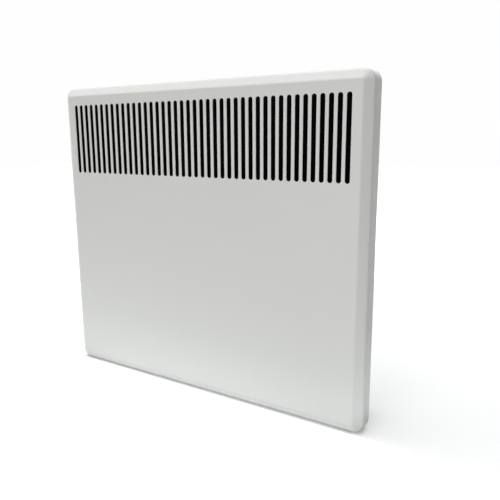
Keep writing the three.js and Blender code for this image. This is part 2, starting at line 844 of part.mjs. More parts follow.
function elementBracket() {
  const plate = prism(foldedSection([
    point(bracketX + bracketFoot, onBackY), point(bracketX, onBackY),
    point(bracketX, elementY - bracketReach),
  ], bracketSheet), 'z', elementHeight - bracketHeight / 2, elementHeight + bracketHeight / 2);
  return cut(
    plate,
    prism(circle(elementY, elementHeight, bushNeck + fit), 'x', bracketX - through,
      bracketX + bracketSheet + through),
    ...footScrewPlaces.map(([x, z]) => screwHole(x, z, 'y', guideBackY, casingBackY)),
  );
}

/** A ceramic bush whose groove holds a plate of the given thickness. */
function insulator(plateMiddleX, plateThickness) {
  const bore = rodRadius + fit;
  const groove = plateThickness / 2 + fit;
  const end = groove + bushThickness;
  return turned([
    [bore, -end], [bushFlange - bushChamfer, -end], [bushFlange, -end + bushChamfer],
    [bushFlange, -groove], [bushNeck, -groove], [bushNeck, groove], [bushFlange, groove],
    [bushFlange, end - bushChamfer], [bushFlange - bushChamfer, end], [bore, end], [bore, -end],
  ], 'x', [plateMiddleX, elementY, elementHeight]);
}

/** A cross of four wings with fins on both sides, round the rod's bore. */
function diffuserOutline() {
  const half = wingThickness / 2;
  const finCount = Math.floor((wingReach - finStart) / finPitch) + 1;
  const side = Array.from({ length: finCount }, (_, i) => {
    const from = finStart + i * finPitch;
    return [
      [from, half], [from, half + finHeight], [from + finThickness, half + finHeight],
      [from + finThickness, half],
    ];
  }).flat();
  const hubStart = Math.sqrt(hubRadius ** 2 - half ** 2);
  const reach = Math.max(wingReach, finStart + (finCount - 1) * finPitch + finThickness
    + wingTip);
  const lower = side.map(([along, across]) => [along, -across]);
  const upper = side.toReversed();
  const wing = [[hubStart, -half], ...lower, [reach, -half], [reach, half], ...upper,
    [hubStart, half]];
  const angles = [-wingAngle, wingAngle, 180 - wingAngle, 180 + wingAngle]
    .map(THREE.MathUtils.degToRad);
  return angles.flatMap((angle, i) => {
    const next = angles[(i + 1) % angles.length] + (i + 1 === angles.length ? 2 * Math.PI : 0);
    const between = point(hubRadius, 0).rotateAround(point(0, 0), (angle + next) / 2);
    return [...wing.map(([u, v]) => point(u, v).rotateAround(point(0, 0), angle)), between];
  }).map(({ x, y }) => point(elementY + x, elementHeight + y));
}

const rodLeft = partitionX - coverSheet - rodLeftReach;
const rodRight = bracketX + bracketSheet + rodRightReach;

function elementDiffuser() {
  const bore = circle(elementY, elementHeight, rodRadius + fit);
  return prism(diffuserOutline(), 'x', partitionX + diffuserEndGap, bracketX - diffuserEndGap,
    [bore]);
}

function elementRod() {
  const crimped = rodRadius - rodCrimp;
  const full = rodCrimpLength + rodCrimpEase;
  return turned([
    [0, rodLeft], [crimped, rodLeft], [crimped, rodLeft + rodCrimpLength],
    [rodRadius, rodLeft + full], [rodRadius, rodRight - full],
    [crimped, rodRight - rodCrimpLength], [crimped, rodRight], [0, rodRight],
  ], 'x', [0, elementY, elementHeight]);
}

/** A threaded stud with its nut, growing away from the rod's end. */
function elementTerminal(endX, away) {
  const stud = turned([
    [0, 0], [studRadius, 0], [studRadius, nutStart], [nutRadius, nutStart],
    [nutRadius, nutStart + nutLength], [studRadius, nutStart + nutLength],
    [studRadius, studLength], [0, studLength],
  ], 'x');
  if (away < 0) stud.rotateZ(Math.PI);
  return stud.translate(endX + away * fit, elementY, elementHeight);
}

add('element_bracket', elementBracket(), galvanised);
addEach('bracket_screw', backScrews(footScrewPlaces, onBackY - bracketSheet), zincPlate);
add('element_diffuser', elementDiffuser(), aluminium);
add('element_rod', elementRod(), stainless);
add('insulator_left', insulator(partitionX - coverSheet / 2, coverSheet), ceramic);
add('insulator_right', insulator(bracketX + bracketSheet / 2, bracketSheet), ceramic);
add('element_terminal_left', elementTerminal(rodLeft, -1), brass);
add('element_terminal_right', elementTerminal(rodRight, 1), brass);

// ---------------------------------------------------------------- overheat cut-out

/** A flat blade terminal along x, its middle at (y, z). */
const blade = (y, z, fromX, toX) => prism(rectangle(
  y - bladeThickness / 2, y + bladeThickness / 2, z - bladeWidth / 2, z + bladeWidth / 2,
), 'x', fromX, toX);

const cutoutBackX = partitionX - coverSheet - seat - cutoutBodyDepth;

function thermalCutout() {
  const [shoulderX, cupX] = [partitionX - coverSheet - seat, partitionX + seat];
  const endX = cupX + cutoutCupDepth;
  const body = turned([
    [0, cutoutBackX], [cutoutBody, cutoutBackX], [cutoutBody, shoulderX], [cutoutNeck, shoulderX],
    [cutoutNeck, cupX], [cutoutCup, cupX], [cutoutCup, endX - cutoutCupChamfer],
    [cutoutCup - cutoutCupChamfer, endX], [0, endX],
  ], 'x', [0, cutoutY, cutoutZ]);
  const blades = [-1, 1].map((side) => (
    blade(cutoutY + (side * bladeSpacing) / 2, cutoutZ, cutoutBackX - bladeLength,
      cutoutBackX + rooted)
  ));
  return join(body, ...blades);
}

add('thermal_cutout', thermalCutout(), darkPlastic);

// ---------------------------------------------------------------- control housing

const recessHalf = rockerHalfLength + recessSpare;
const switchBodyHalfHeight = recessHalf + switchWall;
const switchBodyHalfWidth = rockerWidth / 2 + fit + switchWall;
const lampZ = (thermostatZ - knobRadius + switchZ + switchHeight / 2) / 2;

function controlHousing() {
  const face = prism(roundedRectangle(
    housingOuter.left, housingOuter.right, housingOuter.bottom, housingOuter.top, housingCorner,
  ), 'x', housingOuterX, housingInnerX);
  const tub = prism(tubOutline(0), 'x', housingInnerX - housingFace / 2, housingMouthX);
  const hollow = prism(tubOutline(-housingWall), 'x', housingInnerX, housingMouthX + through);
  const [from, to] = [housingOuterX - through, housingInnerX + through];
  return cut(
    join(face, tub),
    hollow,
    prism(circle(housingY, thermostatZ, bushRadius + fit), 'x', from, to),
    prism(circle(housingY, lampZ, lampRadius + fit), 'x', from, to),
    prism(rectangle(housingY - switchBodyHalfWidth - fit, housingY + switchBodyHalfWidth + fit,
      switchZ - switchBodyHalfHeight - fit, switchZ + switchBodyHalfHeight + fit), 'x', from, to),
    ...housingScrewPlaces.map(([y, z]) => screwHole(y, z, 'x', from, to)),
  );
}

add('control_housing', controlHousing(), darkPlastic);
addEach('housing_screw', housingScrewPlaces.map(([y, z]) => (
  screw('x', [housingOuterX - seat, y, z], housingFace + coverSheet + screwTip)
)), zincPlate);

// ---------------------------------------------------------------- thermostat

const spindleEndX = housingOuterX - turnGap - knobDisc;
const boreEndX = thermostatBackX - housingWall;

function thermostatBody() {
  const body = prism(rectangle(
    housingY - thermostatWidth / 2, housingY + thermostatWidth / 2,
    thermostatZ - thermostatHeight / 2, thermostatZ + thermostatHeight / 2,
  ), 'x', housingInnerX + seat, thermostatBackX);
  const bush = prism(circle(housingY, thermostatZ, bushRadius), 'x', housingOuterX,
    housingInnerX + rooted);
  const blades = [-1, 1].map((side) => (
    blade(housingY, thermostatZ + (side * bladeSpacing) / 2, thermostatBackX - rooted,
      thermostatBackX + bladeLength)
  ));
  return cut(
    join(body, bush, ...blades),
    prism(circle(housingY, thermostatZ, spindleRadius + fit), 'x', housingOuterX - through,
      boreEndX),
  );
}

/** A D-shaped outline: a circle with one side cut flat. */
const dOutline = (radius, flat) => circle(housingY, thermostatZ, radius, shaftSides)
  .map(({ x, y }) => point(Math.min(x, housingY + flat), y));

function thermostatSpindle() {
  return join(
    prism(circle(housingY, thermostatZ, spindleRadius, shaftSides), 'x',
      housingOuterX - turnGap, boreEndX - fit),
    prism(dOutline(spindleRadius, spindleFlat), 'x', spindleEndX, housingOuterX),
  );
}

/** A fluted disc with a grip bar across it and a D-shaped socket for the spindle. */
function thermostatKnob() {
  const backX = housingOuterX - turnGap;
  const discX = backX - knobDisc;
  const flutes = circle(housingY, thermostatZ, knobRadius, knobFlutes * 2).map((p, i) => {
    const inward = i % 2 ? 1 - knobFluteDepth / knobRadius : 1;
    return point(housingY + (p.x - housingY) * inward, thermostatZ + (p.y - thermostatZ) * inward);
  });
  const shoulder = circle(housingY, thermostatZ, knobRadius - 2 * knobFluteDepth, knobFlutes);
  const gripHalf = knobRadius - 2 * knobFluteDepth;
  const grip = roundedRectangle(housingY - knobGripWidth / 2, housingY + knobGripWidth / 2,
    thermostatZ - gripHalf, thermostatZ + gripHalf, (knobGripWidth - knobGripFlat) / 2,
    smallCornerSteps);
  return cut(
    join(
      prism(flutes, 'x', discX + knobShoulder, backX),
      prism(shoulder, 'x', discX, discX + knobShoulder + rooted),
      prism(grip, 'x', discX - knobGrip, discX + rooted),
    ),
    prism(dOutline(spindleRadius + fit, spindleFlat + fit), 'x', spindleEndX - fit,
      backX + through),
  );
}

add('thermostat_body', thermostatBody(), whitePlastic);
add('thermostat_spindle', thermostatSpindle(), stainless);
add('thermostat_knob', thermostatKnob(), darkPlastic);

// ---------------------------------------------------------------- rocker switch and pilot lamp

function switchBody() {
  const flange = prism(roundedRectangle(
    housingY - switchWidth / 2, housingY + switchWidth / 2,
    switchZ - switchHeight / 2, switchZ + switchHeight / 2, switchCorner, smallCornerSteps,
  ), 'x', housingOuterX - seat - switchFlange, housingOuterX - seat);
  const body = prism(rectangle(
    housingY - switchBodyHalfWidth, housingY + switchBodyHalfWidth,
    switchZ - switchBodyHalfHeight, switchZ + switchBodyHalfHeight,
  ), 'x', housingOuterX - seat - switchFlange / 2, switchBackX);
  const recessFrom = housingOuterX - seat - switchFlange;
  const recess = prism(rectangle(
    housingY - rockerWidth / 2 - fit, housingY + rockerWidth / 2 + fit,
    switchZ - recessHalf, switchZ + recessHalf,
  ), 'x', recessFrom - through, recessFrom + recessDepth);
  const sockets = prism(circle(rockerX, switchZ, trunnionRadius + fit), 'y',
    housingY - rockerWidth / 2 - trunnionReach - 2 * fit,
    housingY + rockerWidth / 2 + trunnionReach + 2 * fit);
  const blades = [-1, 1].map((side) => (
    blade(housingY, switchZ + (side * bladeSpacing) / 2, switchBackX - rooted,
      switchBackX + bladeLength)
  ));
  return cut(join(flange, body, ...blades), recess, sockets);
}

/** The rocker about its own pivot, tilted to its off side, with its two trunnions. */
function switchRocker() {
  const key = prism([
    point(rockerFoot, -rockerHalfLength / 2), point(rockerFoot, rockerHalfLength / 2),
    point(-rockerFoot, rockerHalfLength), point(-rockerRise, rockerHalfLength),
    point(-rockerDip, 0), point(-rockerRise, -rockerHalfLength),
    point(-rockerFoot, -rockerHalfLength),
  ], 'y', -rockerWidth / 2, rockerWidth / 2);
  const pin = prism(circle(0, 0, trunnionRadius), 'y',
    -rockerWidth / 2 - trunnionReach, rockerWidth / 2 + trunnionReach);
  return join(key, pin);
}

function pilotLamp() {
  const outer = housingOuterX - seat;
  const domeX = outer - lampCollar;
  const angle = THREE.MathUtils.degToRad(lampDomeAngle);
  return turned([
    [0, domeX - lampDome], [lampRadius * Math.cos(angle), domeX - lampDome * Math.sin(angle)],
    [lampRadius, domeX], [lampFlange, outer - lampRim], [lampFlange, outer],
    [lampRadius, outer], [lampRadius, housingOuterX + lampDepth], [0, housingOuterX + lampDepth],
  ], 'x', [0, housingY, lampZ]);
}

add('switch_body', switchBody(), darkPlastic);
const rocker = add('switch_rocker', switchRocker(), lampPlastic, [rockerX, housingY, switchZ]);
rocker.rotation.y = THREE.MathUtils.degToRad(rockerTilt);
add('pilot_lamp', pilotLamp(), lampPlastic);

// ---------------------------------------------------------------- cable inlet

function cableGland() {
  const outer = -casingHalf - seat;
  const collar = outer - glandFlangeThickness;
  const inner = outer + glandInside;
  return turned([
    [glandBore, inner], [glandBarrel, inner], [glandBarrel, outer], [glandFlange, outer],
    [glandFlange, collar], [glandBarrel + glandShoulder, collar - glandShoulder],
    [glandBarrel, collar - glandNose],
    [glandBore, collar - glandNose], [glandBore, inner],
  ], 'x', [0, housingY, glandHeight]);
}

function glandNut() {
  const from = -sideInside + seat;
  return prism(circle(housingY, glandHeight, glandNutRadius, hexSides), 'x', from,
    from + glandNutThickness, [circle(housingY, glandHeight, glandBarrel + fit)]);
}

add('cable_gland', cableGland(), darkPlastic);
add('gland_nut', glandNut(), darkPlastic);

// ---------------------------------------------------------------- terminal block and leads

const wireY = backInsideY - wireDepth;

function terminalBlock() {
  const poleWidth = blockWidth / blockPoles;
  const frontY = onBackY - blockDepth;
  const poles = Array.from({ length: blockPoles }, (_, pole) => {
    const left = blockLeft + pole * poleWidth;
    return [
      point(left + blockBevel, frontY), point(left + poleWidth - blockBevel, frontY),
      point(left + poleWidth, frontY + blockGroove),
    ];
  }).flat();
  const outline = [
    point(blockLeft, onBackY), point(blockLeft, frontY + blockGroove), ...poles,
    point(blockLeft + blockWidth, onBackY),
  ];
  const body = prism(outline, 'z', blockBottom, blockBottom + blockHeight);
  const channels = Array.from({ length: blockPoles }, (_, pole) => prism(
    circle(blockPoleX(pole), wireY, wireHole, smallSides), 'z', blockBottom - through,
    blockBottom + blockHeight + through,
  ));
  const wells = Array.from({ length: blockPoles }, (_, pole) => quarters.map((share) => prism(
    circle(blockPoleX(pole), blockBottom + blockHeight * share, wireHole, smallSides), 'y',
    frontY - through, frontY + blockGroove,
  ))).flat();
  const hole = screwHole(...blockScrewPlace, 'y', frontY - through, casingBackY);
  const sink = prism(circle(...blockScrewPlace, screwHeadRadius + fit), 'y', frontY - through,
    frontY + blockGroove);
  return cut(body, ...channels, ...wells, hole, sink);
}

add('terminal_block', terminalBlock(), whitePlastic);
add('block_screw', backScrews([blockScrewPlace], onBackY - blockDepth + blockGroove)[0], zincPlate);
add('earth_screw', backScrews([earthPlace], onBackY)[0], brass);

const blockTop = blockBottom + blockHeight + fit;
const bladeEnd = (x) => x + bladeLength + fit + wireRadius / 2;
const switchBladeX = bladeEnd(switchBackX);
const thermostatBladeX = bladeEnd(thermostatBackX);
const cutoutBladeX = cutoutBackX - bladeLength - fit - wireRadius / 2;
const laneX = (thermostatBladeX + cutoutBladeX) / 2; // free lane between the two sets of blades
const behindY = backInsideY - behindTub;
const lowBladeZ = (z) => z - bladeSpacing / 2;
const highBladeZ = (z) => z + bladeSpacing / 2;

add('supply_lead', lead([
  [blockPoleX(1), wireY, blockTop],
  [blockPoleX(1) + laneShift, behindY, blockTop + supplyRise],
  [housingMouthX + tubClear, behindY, blockTop + supplyTurn],
  [laneX - laneShift, wireY - supplyForward, switchZ - supplyDrop],
  [laneX - laneShift, housingY + tubClear, lowBladeZ(switchZ) - bladeRun],
  [switchBladeX + bladeRun, housingY, lowBladeZ(switchZ)],
  [switchBladeX, housingY, lowBladeZ(switchZ)],
]), brownSleeve);
add('switch_lead', lead([
  [switchBladeX, housingY, highBladeZ(switchZ)],
  [switchBladeX + bladeRun, housingY, highBladeZ(switchZ) + wireRadius],
  [laneX, housingY, (switchZ + thermostatZ) / 2],
  [thermostatBladeX + bladeRun, housingY, lowBladeZ(thermostatZ) - wireRadius],
  [thermostatBladeX, housingY, lowBladeZ(thermostatZ)],
]), brownSleeve);
add('thermostat_lead', lead([
  [thermostatBladeX, housingY, highBladeZ(thermostatZ)],
  [thermostatBladeX + bladeRun, housingY - wireRadius, highBladeZ(thermostatZ) + wireRadius],
  [laneX, (housingY + cutoutY) / 2, (thermostatZ + cutoutZ) / 2 + cutoutSag],
  [cutoutBladeX - bladeRun, cutoutY + bladeSpacing / 2 + wireRadius, cutoutZ],
  [cutoutBladeX, cutoutY + bladeSpacing / 2, cutoutZ],
]), brownSleeve);
const studFree = studLength - studRadius; // from the rod's end to a lead on its stud
const leftStudX = rodLeft - fit - studFree;
add('element_lead', lead([
  [cutoutBladeX, cutoutY - bladeSpacing / 2, cutoutZ],
  [cutoutBladeX - bladeRun, cutoutY - bladeSpacing / 2, cutoutZ - wireRadius],
  [leftStudX - cutoutSag, cutoutY, (cutoutZ + elementHeight) / 2],
  [leftStudX, elementY, elementHeight + studRadius + studRun],
  [leftStudX, elementY, elementHeight + studRadius + fit],
]), brownSleeve);
const returnY = backInsideY - returnDepth;
const rightStudX = rodRight + fit + studFree;
add('return_lead', lead([
  [blockPoleX(2), wireY, blockTop],
  [blockPoleX(2) + wireRadius, wireY, blockTop + returnTurn],
  [blockPoleX(2) + returnReach, returnY, blockTop + bladeRun],
  [partitionX - partitionFlange, returnY, returnHeight + returnTurn],
  [partitionX - coverSheet - returnTurn, returnY, returnHeight],
  [partitionX + returnReach, returnY, returnHeight],
  [0, returnY, returnHeight], [bracketX - returnEnd, returnY, returnHeight],
  [bracketX - bracketSheet, returnY, returnHeight + wireRadius],
  [rightStudX - bladeRun, (returnY + elementY) / 2, returnHeight + returnLift],
  [rightStudX, elementY, elementHeight - studRadius - studRun],
  [rightStudX, elementY, elementHeight - studRadius - fit],
]), blueSleeve);
add('earth_lead', lead([
  [blockPoleX(0), wireY, blockTop], [blockPoleX(0), behindY, blockTop + earthTurn],
  [earthPlace[0], onBackY - 2 * wireRadius, earthPlace[1] - screwHeadRadius - earthTurn],
  [earthPlace[0], onBackY - wireRadius - fit, earthPlace[1] - screwHeadRadius - fit],
]), greenSleeve);

// ---------------------------------------------------------------- wall bracket and latches

/** One upright of the bracket: a hat section whose crown bears on the casing. */
function hanger(x) {
  const crownY = casingBackY + seat + bracketSheet;
  const half = hangerCrown / 2;
  const corners = [
    [half + hangerFoot, wallY], [half, wallY], [half, crownY], [-half, crownY], [-half, wallY],
    [-half - hangerFoot, wallY],
  ].map(([u, v]) => point(x + u, v));
  return prism(foldedSection(corners, bracketSheet), 'z', hangerBottom, hangerTop);
}

/** A hook lanced out of the upright's crown, through the casing and up behind its wall. */
function hook(x) {
  const crownY = casingBackY + seat + bracketSheet;
  const fingerY = backInsideY - fit - bracketSheet;
  const section = foldedSection([
    point(crownY, hookHeight), point(fingerY, hookHeight), point(fingerY, hookHeight + hookRise),
  ].toReversed(), bracketSheet, hookBend);
  return prism(section, 'x', x - hookWidth / 2, x + hookWidth / 2);
}

function wallBracket() {
  const xs = [-hangerSpacing / 2, hangerSpacing / 2];
  const inner = hangerSpacing / 2 - hangerCrown / 2 - hangerFoot + rooted;
  const bars = [barBottom, hangerTop - barHeight];
  const plate = (left, right, bottom, top) => (
    prism(rectangle(left, right, bottom, top), 'y', wallY - bracketSheet, wallY)
  );
  const heads = xs.map((x) => plate(x - headWidth / 2, x + headWidth / 2, hangerTop - barHeight,
    casingTop - headDrop));
  const body = join(...xs.map(hanger), ...xs.map(hook), ...heads,
    ...bars.map((bottom) => plate(-inner, inner, bottom, bottom + barHeight)));
  const wallSlots = bars.flatMap((bottom) => [-1, 1].map((side) => prism(
    slot((side * wallSlotSpacing) / 2, bottom + barHeight / 2, wallSlotLength, wallSlotWidth),
    'y', wallY - bracketSheet - through, wallY + through,
  )));
  const rivetHoles = xs.map((x) => prism(circle(x, latchZ, rivetRadius + fit), 'y',
    wallY - bracketSheet - through, wallY + through));
  return cut(body, ...wallSlots, ...rivetHoles);
}

const latchFrontY = casingBackY + latchFrontGap;
const latchBackY = latchFrontY + latchPlate;

/** A turn latch about its own pivot: nose down behind the catch, lever up, boss behind. */
function latch() {
  const right = [
    [latchNoseHalf - latchNoseChamfer, -latchNose], [latchNoseHalf, latchNoseChamfer - latchNose],
    [latchHub * latchCheek, -latchHub / 2], [latchHub, 0],
    [latchHub * latchCheek, latchHub / 2], [latchLeverHalf, latchHub * latchNeck],
    [latchLeverHalf, latchLever - latchLeverChamfer],
    [latchLeverHalf - latchLeverChamfer, latchLever],
  ];
  const left = right.map(([u, v]) => [-u, v]).toReversed();
  const outline = [...right, ...left].map(([u, v]) => point(u, v));
  const bossEnd = wallY - bracketSheet - fit;
  const ribReach = latchLeverHalf - latchRibRise;
  const ribs = latchRibs.map((share) => prism(rectangle(
    -ribReach, ribReach, latchLever * share - latchRibHalf, latchLever * share + latchRibHalf,
  ), 'y', latchBackY - rooted, latchBackY + latchRibRise));
  return cut(
    join(prism(outline, 'y', latchFrontY, latchBackY),
      prism(circle(0, 0, latchBoss), 'y', latchFrontY, bossEnd), ...ribs),
    prism(circle(0, 0, rivetRadius + fit), 'y', latchFrontY - through, bossEnd + through),
  );
}

function latchRivet(x) {
  const neck = latchFrontY - fit;
  return turned([
    [0, neck - rivetHeadHeight], [rivetHead - rivetChamfer, neck - rivetHeadHeight],
    [rivetHead, neck], [rivetRadius, neck], [rivetRadius, wallY], [0, wallY],
  ], 'y', [x, 0, latchZ]);
}

add('wall_bracket', wallBracket(), galvanised);
add('latch_left', latch(), darkPlastic, [-hangerSpacing / 2, 0, latchZ]);
add('latch_right', latch(), darkPlastic, [hangerSpacing / 2, 0, latchZ]);
add('latch_rivet_left', latchRivet(-hangerSpacing / 2), brass);
add('latch_rivet_right', latchRivet(hangerSpacing / 2), brass);

// ---------------------------------------------------------------- wall spacers

function wallSpacer(side) {
  return turned([
    [0, casingBackY + seat], [spacerRadius, casingBackY + seat],
    [spacerRadius, casingBackY + spacerCollar],
    [spacerRadius - spacerTaper, wallY - spacerChamfer],
    [spacerRadius - spacerTaper - spacerChamfer, wallY], [0, wallY],
  ], 'y', [side * (casingHalf - spacerInset), 0, spacerHeight]);
}

add('wall_spacer_left', wallSpacer(-1), rubber);
add('wall_spacer_right', wallSpacer(1), rubber);

export default heater;
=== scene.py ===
"""A wall panel convector heater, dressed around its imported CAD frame.

Metres, +Z up, the cover faces -Y. Sizes come from the frame's boxes and from the fields of the
classes below, one class for each sub-assembly of the heater.
"""

from __future__ import annotations

import json
import logging
import math
from dataclasses import dataclass, field
from enum import Enum
from typing import Any, Callable, Mapping, Sequence

import bmesh  # noqa: E402
import bpy  # noqa: E402
from mathutils import Matrix, Vector  # noqa: E402


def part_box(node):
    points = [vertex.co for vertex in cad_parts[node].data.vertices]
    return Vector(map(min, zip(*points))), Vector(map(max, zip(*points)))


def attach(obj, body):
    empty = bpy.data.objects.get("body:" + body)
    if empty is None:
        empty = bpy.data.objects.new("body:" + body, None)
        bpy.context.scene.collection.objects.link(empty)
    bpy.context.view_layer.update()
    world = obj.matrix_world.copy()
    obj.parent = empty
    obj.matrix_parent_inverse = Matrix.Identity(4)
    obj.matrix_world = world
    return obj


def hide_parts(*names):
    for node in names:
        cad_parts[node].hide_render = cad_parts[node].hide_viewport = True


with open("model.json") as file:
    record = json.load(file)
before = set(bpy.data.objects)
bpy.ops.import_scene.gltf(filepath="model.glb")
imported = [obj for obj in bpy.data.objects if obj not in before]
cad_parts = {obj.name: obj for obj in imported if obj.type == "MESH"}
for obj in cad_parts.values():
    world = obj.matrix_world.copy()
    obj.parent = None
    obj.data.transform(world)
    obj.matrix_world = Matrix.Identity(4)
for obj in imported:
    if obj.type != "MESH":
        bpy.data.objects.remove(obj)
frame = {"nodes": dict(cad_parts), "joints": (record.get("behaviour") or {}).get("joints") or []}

LOG = logging.getLogger("heater")
MM = 0.001
MERGE = 0.01 * MM
SAME_PLANE = math.radians(0.5)
QUARTER = [math.radians(step) for step in range(0, 91, 15)]
Colour = Triple = tuple[float, float, float]
Pair = tuple[float, float]
Profile = Sequence[Pair]
BMesh, BMEdge, BMFace = bmesh.types.BMesh, bmesh.types.BMEdge, bmesh.types.BMFace
Object, Socket = bpy.types.Object, bpy.types.NodeSocket
EVEN: Triple = (1.0, 1.0, 1.0)
WHITE: Colour = (1.0, 1.0, 1.0)
COOL: Colour = (0.87, 0.93, 1.0)


class Axis(Enum):
    """The way that a turned piece's own +Z points in the heater."""

    RIGHT = Matrix.Rotation(math.pi / 2, 4, "Y")
    LEFT = Matrix.Rotation(-math.pi / 2, 4, "Y")
    BACK = Matrix.Rotation(-math.pi / 2, 4, "X")
    FRONT = Matrix.Rotation(math.pi / 2, 4, "X")

    @property
    def along(self) -> Vector:
        """The unit vector of the axis in the heater."""
        return self.value.to_3x3() @ Vector((0, 0, 1))

    def at(self, point: Vector) -> Matrix:
        """Stands a piece that is drawn about Z along the axis, with its foot at a point."""
        return Matrix.Translation(point) @ self.value


class Boolean(Enum):
    """What is kept of two solids."""

    CUT = "DIFFERENCE"
    JOIN = "UNION"
    COMMON = "INTERSECT"


# ------------------------------------------------------------------ shader nodes


class Signal:
    """A value socket that can be used in arithmetic."""

    def __init__(self, sheet: NodeSheet, socket: Socket) -> None:
        """Wraps a socket of the sheet's node tree."""
        self.sheet = sheet
        self.socket = socket

    def _with(self, operation: str, *values: Any) -> Signal:
        """Adds one Math node with the given values or signals."""
        inputs = dict(enumerate(values))
        return self.sheet.signal("ShaderNodeMath", {"operation": operation}, inputs)

    def __add__(self, other: Signal | float) -> Signal:
        """self + other."""
        return self._with("ADD", self, other)

    def __sub__(self, other: Signal | float) -> Signal:
        """self - other."""
        return self._with("SUBTRACT", self, other)

    def __rsub__(self, other: Signal | float) -> Signal:
        """other - self."""
        return self._with("SUBTRACT", other, self)

    def __mul__(self, other: Signal | float) -> Signal:
        """self * other."""
        return self._with("MULTIPLY", self, other)

    def __abs__(self) -> Signal:
        """The value without its sign."""
        return self._with("ABSOLUTE", self)

    def ramp(self, low: float, high: float, start: float = 0.0, end: float = 1.0) -> Signal:
        """Maps low..high smoothly to start..end, and holds the ends outside.

        Args:
            low: The value that gives start.
            high: The value that gives end.
            start: The result at low.
            end: The result at high.

        Returns:
            The mapped value.
        """
        ends = {"From Min": low, "From Max": high, "To Min": start, "To Max": end}
        smooth = {"interpolation_type": "SMOOTHSTEP"}
        return self.sheet.signal("ShaderNodeMapRange", smooth, {"Value": self, **ends})


class NodeSheet:
    """The node tree of a material or of the world."""

    def __init__(self, tree: bpy.types.NodeTree) -> None:
        """Empties the tree and starts afresh."""
        self.tree = tree
        tree.nodes.clear()

    def node(
        self,
        kind: str,
        settings: Mapping[str, Any] | None = None,
        inputs: Mapping[str | int, Any] | None = None,
    ) -> bpy.types.Node:
        """Adds one node.

        Args:
            kind: The node's type name.
            settings: Attributes of the node, set before its sockets.
            inputs: Socket names or numbers, with values, signals or sockets.

        Returns:
            The new node.
        """
        made = self.tree.nodes.new(kind)
        for name, value in (settings or {}).items():
            setattr(made, name, value)
        for key, value in (inputs or {}).items():
            if isinstance(value, Signal):
                value = value.socket
            if isinstance(value, Socket):
                self.tree.links.new(value, made.inputs[key])
            else:
                made.inputs[key].default_value = value
        return made

    def signal(
        self,
        kind: str,
        settings: Mapping[str, Any],
        inputs: Mapping[Any, Any],
        output: str | int = 0,
    ) -> Signal:
        """Adds one node and gives one of its outputs."""
        return Signal(self, self.node(kind, settings, inputs).outputs[output])

    def place(self, stretch: Triple = EVEN) -> Socket:
        """Object coordinates, stretched along each axis."""
        source = self.node("ShaderNodeTexCoord").outputs["Object"]
        return self.node("ShaderNodeMapping", {}, {"Vector": source, "Scale": stretch}).outputs[0]

    def noise(self, size: float, detail: float, stretch: Triple = EVEN) -> Signal:
        """Noise whose grains are about the given size in metres."""
        inputs = {"Vector": self.place(stretch), "Scale": 1.0 / size, "Detail": detail}
        return self.signal("ShaderNodeTexNoise", {}, inputs)

    def cells(self, size: float) -> tuple[Signal, Signal]:
        """Voronoi cells about the given size: their distance and their random grey."""
        made = self.node("ShaderNodeTexVoronoi", {}, {"Vector": self.place(), "Scale": 1.0 / size})
        grey = self.signal("ShaderNodeRGBToBW", {}, {0: made.outputs["Color"]})
        return Signal(self, made.outputs["Distance"]), grey

    def mix(self, share: Signal | float, first: Colour | Socket, second: Colour | Socket) -> Socket:
        """A colour between two, first where share is 0 and second where it is 1."""
        colours = {
            key: (*value, 1.0) if isinstance(value, tuple) else value
            for key, value in ((6, first), (7, second))
        }
        node = self.node("ShaderNodeMix", {"data_type": "RGBA"}, {0: share, **colours})
        return node.outputs[2]

    def bump(self, height: Signal, depth: float) -> Socket:
        """A normal from a height of 0..1 that stands for the given depth in metres."""
        return self.node("ShaderNodeBump", {}, {"Height": height, "Distance": depth}).outputs[0]

    def principled(self, **inputs: Any) -> None:
        """Ends the tree in a Principled shader, with underscores for spaces in socket names."""
        named = {key.replace("_", " "): value for key, value in inputs.items()}
        shader = self.node("ShaderNodeBsdfPrincipled", {}, named)
        self.node("ShaderNodeOutputMaterial", {}, {"Surface": shader.outputs[0]})


def shade(colour: Colour, factor: float) -> Colour:
    """A colour made lighter or darker by a factor."""
    return tuple(min(channel * factor, 1.0) for channel in colour)


# ------------------------------------------------------------------ finishes


class Finish:
    """A procedural material that is made once, on first use."""

    def paint(self, sheet: NodeSheet) -> None:
        """Builds the node tree."""
        raise NotImplementedError

    def material(self) -> bpy.types.Material:
        """The finish's material.

        Returns:
            The material, made when it is first asked for.
        """
        name = f"{type(self).__name__}_{self.slot}"
        found = bpy.data.materials.get(name)
        if found is None:
            found = bpy.data.materials.new(name)
            found.use_nodes = True
            self.paint(NodeSheet(found.node_tree))
        return found


@dataclass(frozen=True)
class PowderCoat(Finish):
    """Baked powder on sheet steel: a fine orange peel and a faint cloudiness."""

    slot: str
    colour: Colour
    roughness: float = 0.42
    peel: float = 1.1 * MM
    peel_depth: float = 0.012 * MM
    cloud: float = 60 * MM
    gloss: float = 0.45
    fleck: float = 0.5 * MM

    def paint(self, sheet: NodeSheet) -> None:
        """Cloudy base colour, uneven sheen and orange peel."""
        cloud = sheet.noise(self.cloud, 3.0)
        fleck = sheet.noise(self.fleck, 2.0)
        tone = sheet.mix(cloud, shade(self.colour, 0.985), shade(self.colour, 1.012))
        base = sheet.mix(fleck.ramp(0.62, 0.8, 0.0, 0.5), tone, shade(self.colour, 0.96))
        peel = sheet.noise(self.peel, 1.5) * 0.7 + fleck * 0.3
        sheet.principled(
            Base_Color=base,
            Roughness=cloud.ramp(0.3, 0.7, self.roughness - 0.03, self.roughness + 0.04),
            Normal=sheet.bump(peel, self.peel_depth),
            Specular_IOR_Level=self.gloss,
        )


